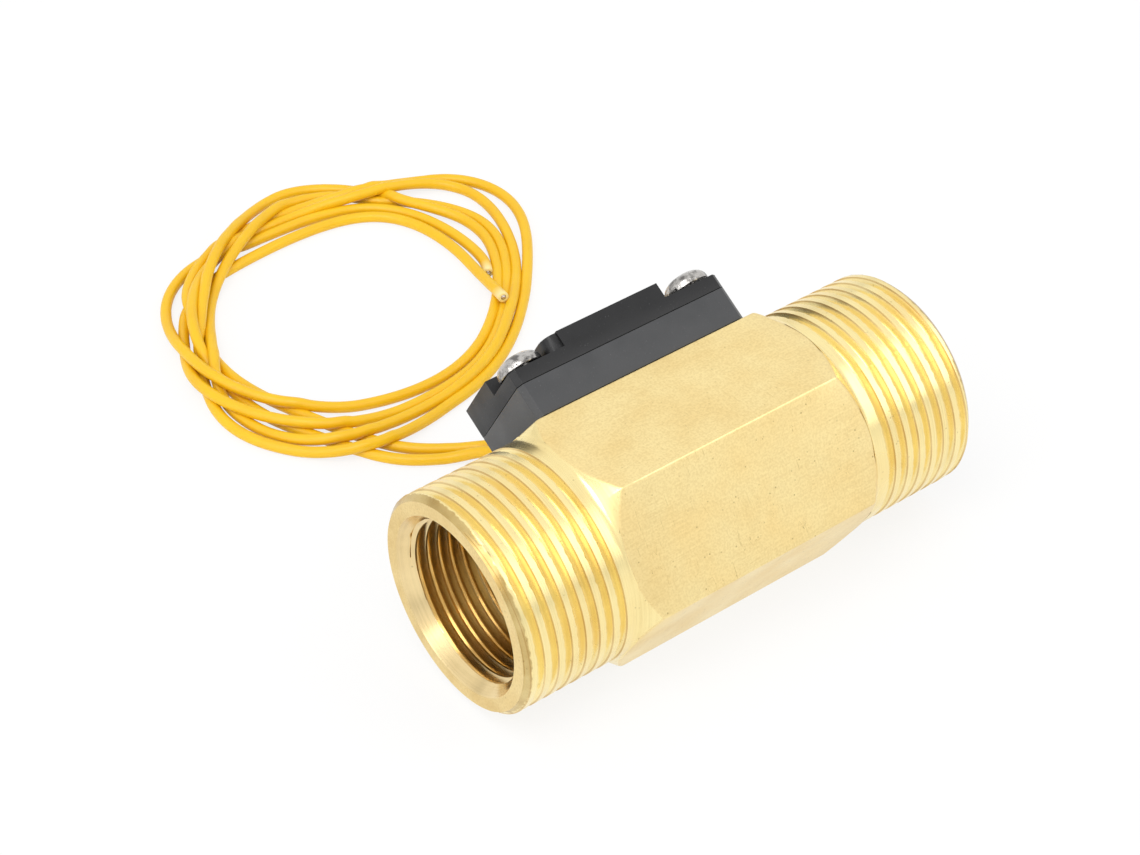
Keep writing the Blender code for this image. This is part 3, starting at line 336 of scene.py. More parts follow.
@dataclass(frozen=True)
class WireInsulation:
    """Soft plasticised PVC, extruded: smooth and slightly waxy, with faint lengthwise flow and scuffs.

    Its cut end is stretched thin and pale. The attribute to_tip is the distance to that end in mm.
    """
    base: str = "#F0C012"
    shade_tone: str = "#E9B50E"
    scuff: str = "#B98A2A"
    pale: str = "#F6E6A8"
    rough: float = 0.40
    depth: float = 0.02             # of the skin's unevenness
    reach: float = 1.2              # how far light goes in
    reach_of: tuple[float, float, float] = (1.0, 0.7, 0.1)  # shares of that for red, green and blue

    def build(self) -> bpy.types.Material:
        """Return the yellow insulation."""
        material, add = new_material("yellow PVC insulation")
        where = add("TexCoord").outputs["Object"]
        cloud = add("TexNoise", where, Scale=per_mm(6.0), Detail=4)
        skin = add("TexNoise", where, Scale=per_mm(0.8), Detail=4)
        fleck = add("MapRange", add("TexNoise", where, Scale=per_mm(0.55), Detail=2), 0.7, 0.78)
        tip = add("Attribute", attribute_name="to_tip").outputs["Fac"]
        clouded = add("MapRange", cloud, 0.35, 0.7, 0, 0.6)
        tint = add("Mix", clouded, linear(self.base), linear(self.shade_tone), data_type="RGBA")
        flecks = add("Math", fleck, 0.25, operation="MULTIPLY")
        tint = add("Mix", flecks, tint, linear(self.scuff), data_type="RGBA")
        tint = add("Mix", add("MapRange", tip, 0.3, 2.6, 0.85, 0), tint, linear(self.pale), data_type="RGBA")
        rough = add("MapRange", skin, 0.35, 0.65, self.rough - 0.05, self.rough + 0.08)
        normal = add("Bump", Height=skin, Distance=self.depth * MM, Strength=1.0)
        add("OutputMaterial", add("BsdfPrincipled", Base_Color=tint, Roughness=rough, IOR=1.5, Normal=normal,
                                  Subsurface_Weight=0.10, Subsurface_Radius=self.reach_of,
                                  Subsurface_Scale=self.reach * MM))
        return material


@dataclass(frozen=True)
class Plain:
    """A hidden part's finish: one named stuff with its own grain.

    Attributes:
        stuff: Common name of the material and of how it was made.
        base: Its colour.
        second: The colour of its grain or patches.
        rough: Its roughness where the grain is low.
        metallic: 1 for a metal.
        grain: Width of the grain in millimetres.
        stretch: How the grain is drawn out along X, Y and Z.
        depth: Depth of the grain in millimetres.
        clear: Share of light that goes through.
    """
    stuff: str
    base: str
    second: str
    rough: float
    metallic: float = 0.0
    grain: float = 0.6
    stretch: tuple[float, float, float] = (1, 1, 1)
    depth: float = 0.01
    clear: float = 0.0

    def build(self) -> bpy.types.Material:
        """Return the finish."""
        material, add = new_material(self.stuff)
        where = add("TexCoord").outputs["Object"]
        grain = add("TexNoise", add("Mapping", where, Scale=self.stretch), Scale=per_mm(self.grain), Detail=4)
        patches = add("MapRange", grain, 0.35, 0.68)
        tint = add("Mix", patches, linear(self.base), linear(self.second), data_type="RGBA")
        rough = add("MapRange", grain, 0.3, 0.7, self.rough, self.rough + 0.1)
        normal = add("Bump", Height=grain, Distance=self.depth * MM, Strength=1.0)
        add("OutputMaterial", add("BsdfPrincipled", Base_Color=tint, Roughness=rough, Metallic=self.metallic,
                                  IOR=1.5, Transmission_Weight=self.clear, Normal=normal))
        return material


def new_object(name: str, data: bpy.types.ID) -> bpy.types.Object:
    """Return a new object with the data, linked to the scene."""
    made = bpy.data.objects.new(name, data)
    bpy.context.scene.collection.objects.link(made)
    return made


def make_piece(name: str, points: np.ndarray, faces: np.ndarray, finishes: list[bpy.types.Material],
               finish_of: np.ndarray | None = None, sharp: float = 35.0) -> bpy.types.Object:
    """Make a closed piece from points and quads.

    Doubles are merged, which also closes seams and poles, and the faces are turned outwards.

    Args:
        name: The piece's name.
        points: N by 3 places in millimetres.
        faces: M by 4 numbers of points.
        finishes: Its materials.
        finish_of: The material's number for each face.
        sharp: Edges that bend more than this many degrees are sharp.

    Returns:
        The object, linked to the scene.
    """
    mesh = bpy.data.meshes.new(name)
    mesh.from_pydata((points * MM).tolist(), [], faces.tolist())
    for finish in finishes:
        mesh.materials.append(finish)
    if finish_of is not None:
        mesh.polygons.foreach_set("material_index", finish_of.astype(np.int32))
    work = bmesh.new()
    work.from_mesh(mesh)
    bmesh.ops.remove_doubles(work, verts=work.verts, dist=TOUCH)
    bmesh.ops.dissolve_degenerate(work, edges=work.edges, dist=TOUCH * 0.1)
    bmesh.ops.recalc_face_normals(work, faces=work.faces)
    work.to_mesh(mesh)
    work.free()
    mesh.shade_smooth()
    mesh.set_sharp_from_angle(angle=radians(sharp))
    log.info("%s: %d faces", name, len(mesh.polygons))
    return new_object(name, mesh)


def grid_quads(rows: int, columns: int, wrap: bool = False) -> np.ndarray:
    """Work out the quads of a grid of points.

    Args:
        rows: How many rows of points it has.
        columns: How many points are in a row.
        wrap: Whether the last column is joined to the first.

    Returns:
        The four numbers of points of each quad.
    """
    row = np.arange(rows - 1)[:, None] * columns
    column = np.arange(columns if wrap else columns - 1)[None, :]
    following = (column + 1) % columns
    corners = [row + column, row + following, row + columns + following, row + columns + column]
    return np.stack(corners, axis=-1).reshape(-1, 4)


def smooth_step(low: float, high: float, value: np.ndarray) -> np.ndarray:
    """Rise from 0 at low to 1 at high along 3t2 - 2t3."""
    t = np.clip((value - low) / (high - low), 0, 1)
    return t * t * (3 - 2 * t)


def run_along(points: np.ndarray) -> np.ndarray:
    """Return how far along their line points lie, from 0 at the first."""
    return np.concatenate([[0], np.cumsum(np.linalg.norm(np.diff(points, axis=0), axis=1))])


def level_axes(way: np.ndarray) -> tuple[np.ndarray, np.ndarray, np.ndarray]:
    """Return ways with unit length and, square to each, a level one and one that points up."""
    forward = way / np.linalg.norm(way, axis=-1, keepdims=True)
    side = np.cross(forward, (0, 0, 1))
    side /= np.linalg.norm(side, axis=-1, keepdims=True)
    return forward, side, np.cross(side, forward)


@dataclass
class Thread:
    """A cut screw thread, as a groove that winds round a cylinder.

    The groove is a V with 55 degrees between its flanks, rounded at its root: its depth at a distance x
    from its middle is apex - sqrt((slope x)2 + soft2), and nothing where that is below zero.
    """
    pitch: float
    half_width: float               # of the groove at the crest
    root: float                     # X of a groove's middle, in line with the angle 0
    burr: float                     # height of the groove's ragged edge
    seed: int                       # of that edge
    fade: tuple[float, float]       # distances from the body's middle where it is full and where it has gone
    slope: float = 1.92             # depth gained for each mm across
    soft: float = 0.36
    sunk: float = 0.12              # share of the root's softness that the groove is deeper for
    waves: tuple[int, ...] = (7, 13, 23, 37, 59, 83)    # round the pipe, which the ragged edge is made of
    shares: tuple[float, ...] = (-1, -0.76, -0.5, -0.25, 0, 0.25, 0.5, 0.82, 1)
    land: tuple[float, ...] = (0.12, 0.5, 0.88)
    snap: float = 0.12              # rows closer than this to an end lie on it

    def phases(self) -> np.ndarray:
        """Return the places of one pitch's rows, in mm from the groove's middle."""
        land = self.pitch - 2 * self.half_width
        return np.array([s * self.half_width for s in self.shares]
                        + [self.half_width + land * s for s in self.land])

    def depth(self, off: np.ndarray) -> np.ndarray:
        """Return the groove's depth at a distance off its middle."""
        apex = self.slope * self.half_width + self.soft * self.sunk
        return np.maximum(apex - np.sqrt((self.slope * off) ** 2 + self.soft ** 2), 0)

    def rows(self, low: float, high: float, angle: np.ndarray) -> tuple[np.ndarray, np.ndarray]:
        """Work out the rows that follow the helix between two places on the pipe.

        A row keeps its place in the thread and moves along the pipe by one pitch a turn, X = x0 +
        pitch (k + angle / 360), and is held between low and high. The groove's edge at its lower X is
        ragged.

        Args:
            low: Lower X in mm.
            high: Upper X in mm.
            angle: Angles of the columns in degrees, 0 to 360.

        Returns:
            X and depth, each rows by columns.
        """
        first = int(np.floor((low - self.root) / self.pitch)) - 2
        last = int(np.ceil((high - self.root) / self.pitch)) + 1
        turn = np.repeat(np.arange(first, last + 1), len(self.phases()))
        off = np.tile(self.phases(), last - first + 1)
        middle = self.root + self.pitch * (turn[:, None] + angle[None, :] / 360)
        x = middle + off[:, None]
        depth = np.broadcast_to(self.depth(off)[:, None], x.shape).copy()
        full, gone = self.fade
        depth *= smooth_step(gone, full, np.abs(middle))
        rng = np.random.default_rng(self.seed)
        wave = sum(np.sin(np.radians(angle) * n + rng.uniform(0, 6.28)) / n ** 0.2 for n in self.waves)
        ragged = np.sin(wave * 1.7 + turn[:, None] * 2.3) * np.cos(wave + turn[:, None])
        edge = np.abs(off + self.half_width) < 1e-6
        x = np.where(edge[:, None], x + self.burr * ragged, x)
        x = np.where(x < low + self.snap, low, np.where(x > high - self.snap, high, x))
        return x, np.where((x <= low) | (x >= high), 0, depth)


class Skin(IntEnum):
    """Which finish a face of the body has. Between two rows it is the one with the lower number."""
    MILLED = 0
    TURNED = 1
    RING = 2
    BORE = 3
    # a painted dark reflection of the crest's rounded edge, on a groove's far flank
    FLANK_DARK_REFLECTION = 4


@dataclass
class PipeBody:
    """The brass body: a hexagonal bar turned and threaded outside and inside at both ends.

    It is one closed surface of the angle a about the pipe, point = (x, r cos a, axis + r sin a), whose rows
    run over the outside from the near end to the far one and back through the bore.
    """
    axis: float = 16.75
    apothem: float = 16.75
    milled: float = 15.85
    milled_angle: float = 30.0
    milled_edge: float = 2.74       # degrees that the milled flat's edges lie past the hexagon's corners
    edge_power: float = 360.0       # about 0.25 mm of rounding at the hexagon's edges
    half: float = 40.25             # of the body's length
    shoulder: float = 21.75         # where the thread's collar meets the hexagon's cone
    crest: float = 16.6             # radius of the male thread
    face_in: float = 13.65          # radii of the flat ring at each end
    face_out: float = 15.75
    mouth_slope: float = 0.8        # of the cone between the flat ring and the socket's thread
    mouth: tuple[float, float] = (39.1, 38.3)   # between these the socket's thread comes up from the cone
    reflection_from_depth: float = 0.08        # depth from which a groove's flank at its higher X gets the painted dark reflection of the crest's edge
    socket: float = 12.05           # radius of the female thread's crest
    socket_floor: float = 23.25
    seat: float = 8.0               # radius of the shuttle's seat, whose face is at seat_face
    seat_face: float = -15.25
    chamber: float = 11.0           # radius of the shuttle's chamber
    groove: float = 11.8            # radius of the snap ring's groove, which goes from groove_from to groove_to
    groove_from: float = 19.85
    groove_to: float = 21.65
    edge: float = 0.25              # rounding where the cone meets the flats
    fillet: float = 1.5             # between the collar and the hexagon's cone
    outer_near: Thread = field(default_factory=lambda: Thread(2.309, 0.68, -39.03, 0.12, 4, (23.5, 22.7)))
    outer_far: Thread = field(default_factory=lambda: Thread(2.309, 0.68, 37.4, 0.12, 6, (23.5, 22.7)))
    inner_near: Thread = field(default_factory=lambda: Thread(1.814, 0.76, -39.0, 0.02, 10, (25.2, 24.2)))
    inner_far: Thread = field(default_factory=lambda: Thread(1.814, 0.76, 24.0, 0.02, 12, (25.2, 24.2)))
    # the finishes are in the order of Skin
    finishes: tuple[Brass, ...] = (Brass(Cut.MILLED, base="#FFE9AA", stains=0.4),
                                   Brass(Cut.TURNED, base="#FFEDAE", deep="#F8DC96", rough=0.24, band=0.75),
                                   Brass(Cut.FACED, deep="#E0BC72", rough=0.40),
                                   Brass(Cut.TURNED, base="#F4DCA6", deep="#D9BC84", rough=0.2),
                                   # the last is a darker brass: the painted dark reflection at the crests' edges
                                   Brass(Cut.TURNED, base="#F0D699", deep="#CDA968", stains=0.9, rough=0.3,
                                         band=0.75))

    def angles(self) -> np.ndarray:
        """Return the columns' angles over one turn, close together at the hexagon's edges."""
        corners = [-self.milled_edge, 60 + self.milled_edge, 120, 180, 240, 300, 360 - self.milled_edge]
        share = np.array([0, 0.004, 0.012, 0.03, 0.06, *np.linspace(0.1, 0.9, 24), 0.94, 0.97, 0.988, 0.996])
        parts = [a + (b - a) * share for a, b in zip(corners, corners[1:])]
        return np.concatenate([*parts, [corners[-1]]]) - corners[0]

    def outline(self, angle: np.ndarray) -> np.ndarray:
        """Work out the hexagon's radius: the smallest of its flats' distances, rounded at the edges.

        The radius is apothem (sum of (cos(a - flat) apothem / distance) ^ power) ^ (-1 / power).

        Args:
            angle: Angles about the pipe, in degrees.

        Returns:
            The radius at each angle.
        """
        total = np.zeros_like(angle)
        for flat in range(-90, 270, 60):
            distance = self.milled if flat == self.milled_angle else self.apothem
            facing = np.maximum(np.cos(np.radians(angle - flat)), 0)
            total += (facing * self.apothem / distance) ** self.edge_power
        return self.apothem * total ** (-1 / self.edge_power)

    def end_rows(self, side: Side, angle: np.ndarray, turn: np.ndarray) -> list[tuple]:
        """Work out one threaded end, from its flat face to the hexagon.

        The collar's fillet is an arc of 45 degrees: x = shoulder + reach (tan 22.5 - sin a), r = crest +
        reach (1 - cos a). A 45 degree cone goes on from it to the hexagon.

        Args:
            side: Which end.
            angle: Angles of the columns about the pipe, in degrees.
            turn: The same angles, counted from the first column.

        Returns:
            Its rows of x, r and finish.
        """
        s, wide = side.value, np.ones_like(angle)
        thread = self.outer_near if side is Side.NEAR else self.outer_far
        low, high = sorted((s * self.half, s * self.shoulder))
        x, depth = thread.rows(low, high, turn)
        r = np.minimum(self.crest - depth, self.face_out + (self.half - np.abs(x)))
        ring = [(s * self.half * wide, r * wide, Skin.RING) for r in (self.face_in, self.face_out)]
        kind = np.full(x.shape, int(Skin.TURNED))
        phase = np.arange(len(x)) % len(thread.phases())
        # the strip next to the crest on a groove's far flank gets the painted dark reflection
        edge = len(thread.shares) - 1
        beside = phase == edge - 1
        kind[beside] = np.where(depth[beside] > self.reflection_from_depth, Skin.FLANK_DARK_REFLECTION, Skin.TURNED)
        kind[phase == edge] = Skin.FLANK_DARK_REFLECTION
        thread_rows = [(x[i], r[i], kind[i]) for i in range(len(x))]
        if side is Side.FAR:
            thread_rows = thread_rows[::-1]
        full = self.outline(angle)
        rise = np.maximum(full - self.crest, 0)
        soft = np.minimum(self.edge, 0.45 * rise)
        bend = np.radians(np.linspace(0, 45, 7))
        reach = np.minimum(self.fillet, 0.9 * rise / 0.293)      # 0.293 is 1 - cos 45
        cone = [(s * (self.shoulder + reach * (0.414 - np.sin(a))), self.crest + reach * (1 - np.cos(a)),
                 Skin.TURNED) for a in bend]
        cone += [(s * (self.shoulder - rise + soft), full - soft, Skin.TURNED),
                 (s * (self.shoulder - rise - 0.4 * soft), full - 0.3 * soft, Skin.MILLED),
                 (s * (self.shoulder - rise - 1.4 * soft), full, Skin.MILLED)]
        return [*ring, *thread_rows, *cone]

    def socket_rows(self, side: Side, turn: np.ndarray) -> list[tuple]:
        """Work out one threaded socket, from its mouth to its floor.

        Args:
            side: Which end.
            turn: Angles of the columns, counted from the first one.

        Returns:
            Its rows of x, r and finish.
        """
        s = side.value
        thread = self.inner_near if side is Side.NEAR else self.inner_far
        low, high = sorted((s * self.half, s * self.socket_floor))
        x, depth = thread.rows(low, high, turn)
        depth = depth * smooth_step(*self.mouth, np.abs(x))
        r = np.maximum(self.socket + depth, self.face_in - self.mouth_slope * (self.half - np.abs(x)))
        rows = [(x[i], r[i], Skin.BORE) for i in range(len(x))]
        return rows if side is Side.NEAR else rows[::-1]

    def build(self) -> bpy.types.Object:
        """Make the body in place of the CAD solid."""
        turn = self.angles()
        angle = turn - self.milled_edge
        wide = np.ones_like(angle)
        near, far = self.end_rows(Side.NEAR, angle, turn), self.end_rows(Side.FAR, angle, turn)
        flats = [(x * wide, self.outline(angle), Skin.MILLED) for x in (-14, -5, 5, 14)]
        bore = [(-self.socket_floor, self.seat), (self.seat_face, self.seat), (self.seat_face, self.chamber),
                (self.groove_from, self.chamber), (self.groove_from, self.groove),
                (self.groove_to, self.groove), (self.groove_to, self.chamber), (self.socket_floor, self.chamber)]
        inside = [(x * wide, r * wide, Skin.BORE) for x, r in bore]
        rows = [*near, *flats, *far[::-1], *self.socket_rows(Side.FAR, turn), *inside[::-1],
                *self.socket_rows(Side.NEAR, turn)[::-1], near[0]]
        x, r = (np.array([row[i] for row in rows]) for i in (0, 1))
        kinds = np.array([np.broadcast_to(row[2], angle.shape) for row in rows])
        about = np.radians(angle)
        points = np.stack([x, r * np.cos(about), self.axis + r * np.sin(about)], axis=-1)
        of_face = np.minimum(kinds[:-1, :-1], kinds[1:, :-1])
        faces = grid_quads(len(rows), len(angle))
        piece = make_piece("pipe_body", points.reshape(-1, 3), faces, [f.build() for f in self.finishes],
                           of_face.ravel())
        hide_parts("body")
        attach(piece, "sensor")
        return piece


@dataclass
class Housing:
    """The reed switch's black housing on the milled flat: a tray, a lid and two pan head screws.

    Its own frame has X along the pipe, Y towards the leads and Z out of the milled flat.
    """
    origin: tuple[float, float, float] = (0.0, 13.727, 24.675)
    tilt: float = 60.0
    round_edge: float = 0.14
    round_corner: float = 0.42
    round_top: float = 0.7          # share of the corners' rounding that the lid's top edges get
    sharp: float = 30.0             # edges that bend less than this many degrees aren't rounded
    inner_wall: tuple[float, float] = (17.0, 9.0)   # X and Y past which an edge is on the outside
    lid_bottom: float = 5.9
    lid_top: float = 10.4
    slack: float = 0.05             # how far from a level a point may be to count as on it
    seam: float = 0.2               # how much of the gap under the lid the mouldings' flash fills
    screw_x: float = 15.0
    screw_y: float = -5.8
    head_radius: float = 3.5
    head_height: float = 2.35
    head_edge: float = 0.5
    seat_height: float = 8.25
    head_under: float = 0.12        # bevel under the head
    head_power: float = 2.6         # of the dome's curve
    shank_radius: float = 1.9
    tip_radius: float = 1.4
    length: float = 8.0             # of the shank
    tip: float = 0.4                # length of its bevelled tip
    start: float = 0.4              # angle of the first column, in radians, which turns the recess
    recess_span: float = 1.9
    recess_half: float = 0.45
    recess_depth: float = 1.4
    recess_wall: float = 0.14       # width of the recess's sloping walls
    recess_steep: float = 1.25      # how soon an arm reaches its depth from its end
    tray: Nylon = Nylon()
    lid: Nylon = Nylon("lid", "#0F0F11", "#1E1E20", 0.36, 0.4)
    plate: NickelPlate = NickelPlate()

    def frame(self) -> Matrix:
        """Return the matrix, in millimetres, from the housing's frame to the sensor's."""
        return Matrix.Translation(self.origin) @ Matrix.Rotation(radians(-self.tilt), 4, "X")

    def moulding(self, node: str, finish: bpy.types.Material) -> bpy.types.Object:
        """Copy one CAD moulding, with its edges rounded, in place of the solid.

        The upright corners and the lid's top are rounder than the other edges.

        Args:
            node: The CAD moulding.
            finish: Its nylon.

        Returns:
            The moulding.
        """
        name = f"{node}_moulding"
        to_housing = np.array(self.frame().inverted())
        up = Vector(np.array(self.frame())[:3, 2])
        work = bmesh.new()
        work.from_mesh(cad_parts[node].data)
        bmesh.ops.remove_doubles(work, verts=work.verts, dist=2 * TOUCH)
        bmesh.ops.dissolve_limit(work, angle_limit=radians(1.0), verts=work.verts, edges=work.edges)
        bmesh.ops.recalc_face_normals(work, faces=work.faces)
        place_at = {v: to_housing[:3, :3] @ np.array(v.co) / MM + to_housing[:3, 3] for v in work.verts}
        weight = work.edges.layers.float.new("bevel_weight_edge")
        wall_x, wall_y = self.inner_wall
        for line in work.edges:
            if line.calc_face_angle(0) < radians(self.sharp):
                continue
            ends = [place_at[v] for v in line.verts]
            upright = abs((line.verts[1].co - line.verts[0].co).normalized().dot(up)) > 0.99
            outside = min(abs(end[0]) for end in ends) > wall_x or min(abs(end[1]) for end in ends) > wall_y
            top = min(end[2] for end in ends) > self.lid_top - self.slack
            other = self.round_top if top else self.round_edge / self.round_corner
            line[weight] = 1.0 if upright and outside else other
        for v, spot in place_at.items():
            if "lid" in node and spot[2] < self.lid_bottom + self.slack:
                v.co -= up * self.seam * MM
        mesh = bpy.data.meshes.new(name)
        work.to_mesh(mesh)
        work.free()
        mesh.materials.append(finish)
        mesh.shade_smooth()
        piece = new_object(name, mesh)
        bevel = piece.modifiers.new("rounded edges", "BEVEL")
        bevel.width = self.round_corner * MM
        bevel.segments = 3
        bevel.limit_method = "WEIGHT"
        bevel.harden_normals = True
        bevel.use_clamp_overlap = True
        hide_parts(node)
        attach(piece, "sensor")
        log.info("%s: %d faces before its rounding", name, len(mesh.polygons))
        return piece

    def screw(self, node: str, x: float, finish: bpy.types.Material) -> bpy.types.Object:
        """Make a pan head screw with a cross recess.

        Its top is a surface over the radius r and angle: an edge, then a dome height (1 - (r/R)^power)^0.5,
        less the recess, whose four arms taper out from the middle.

        Args:
            node: The CAD screw that it stands for.
            x: The screw's place along the housing.
            finish: Its plating.

        Returns:
            The screw.
        """
        recess = self.recess_span + 0.3     # the rings lie closer together up to here
        radii = np.concatenate([np.linspace(0, recess, 34), np.linspace(recess, self.head_radius, 22)[1:]])
        angle = np.radians(np.linspace(0, 360, 144, endpoint=False)) + self.start
        across, along = radii[:, None] * np.cos(angle), radii[:, None] * np.sin(angle)
        share = np.clip(radii / self.head_radius, 0, 1)
        dome = self.head_edge + (self.head_height - self.head_edge) * np.sqrt(
            np.maximum(1 - share ** self.head_power, 0))
        arms = [np.clip((self.recess_half - np.abs(v)) / self.recess_wall, 0, 1)
                * np.clip(self.recess_steep * (1 - np.abs(u) / self.recess_span), 0, 1)
                for u, v in ((across, along), (along, across))]
        top = dome[:, None] - self.recess_depth * np.maximum(*arms)
        under = np.array([(self.head_radius, self.head_under), (self.head_radius - self.head_under, 0.0),
                          (self.shank_radius, 0.0), (self.shank_radius, self.tip - self.length),
                          (self.tip_radius, -self.length), (0.0, -self.length)])
        under = under[:, :, None] * np.ones_like(angle)
        r = np.concatenate([np.broadcast_to(radii[:, None], top.shape), under[:, 0]])
        z = np.concatenate([top, under[:, 1]])
        points = np.stack([x + r * np.cos(angle), self.screw_y + r * np.sin(angle), self.seat_height + z],
                          axis=-1).reshape(-1, 3)
        turn = np.array(self.frame())
        points = points @ turn[:3, :3].T + turn[:3, 3]
        piece = make_piece(f"{node}_head", points, grid_quads(len(r), len(angle), True), [finish], sharp=42)
        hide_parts(node)
        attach(piece, "sensor")
        return piece

    def build(self) -> None:
        """Make the mouldings and the screws."""
        plate = self.plate.build()
        self.moulding("housing_base", self.tray.build())
        self.moulding("housing_lid", self.lid.build())
        self.screw("screw_left", -self.screw_x, plate)
        self.screw("screw_right", self.screw_x, plate)


@dataclass
class Photo:
    """The camera that the photograph was matched with, over a frame of 1140 by 855 pixels."""
    eye: tuple[float, float, float] = (-198.13, -236.0, 288.03)
    forward: tuple[float, float, float] = (0.45981, 0.60988, -0.64546)
    roll: float = -0.651
    lens: float = 91.24
    sensor: float = 36.0
    width: int = 1140
    height: int = 855

    def axes(self) -> np.ndarray:
        """Return the camera's right, down and forward directions as rows."""
        forward = np.array(self.forward) / np.linalg.norm(self.forward)
        level = np.cross(forward, (0, 0, 1))
        level /= np.linalg.norm(level)
        up = np.cross(level, forward)
        turn = radians(self.roll)
        right = np.cos(turn) * level + np.sin(turn) * up
        return np.stack([right, np.cross(forward, right), forward])

    def rays(self, pixels: np.ndarray) -> np.ndarray:
        """Work out which way pixels look.

        Args:
            pixels: N by 2 pixels of the photograph.

        Returns:
            Their N directions, with unit length.
        """
        scale = self.lens / self.sensor * self.width
        right, down, forward = self.axes()
        seen = (forward + (pixels[:, :1] - self.width / 2) / scale * right
                + (pixels[:, 1:2] - self.height / 2) / scale * down)
        return seen / np.linalg.norm(seen, axis=1)[:, None]

    def at_height(self, pixels: np.ndarray, height: np.ndarray) -> np.ndarray:
        """Work out where lines of sight meet heights.

        Args:
            pixels: N by 2 pixels of the photograph.
            height: Their N heights above the floor, in mm.

        Returns:
            The N places.
        """
        rays = self.rays(pixels)
        eye = np.array(self.eye)
        return eye + rays * ((height - eye[2]) / rays[:, 2])[:, None]

    def build(self) -> None:
        """Set up the camera."""
        camera = bpy.data.cameras.new("photo camera")
        camera.sensor_width, camera.lens = self.sensor, self.lens
        camera.clip_start, camera.clip_end = 0.01, 20
        right, down, forward = self.axes()
        turn = Matrix([[right[i], -down[i], -forward[i]] for i in range(3)]).to_4x4()
        holder = new_object("photo camera", camera)
        holder.matrix_world = Matrix.Translation(Vector(self.eye) * MM) @ turn
        bpy.context.scene.camera = holder


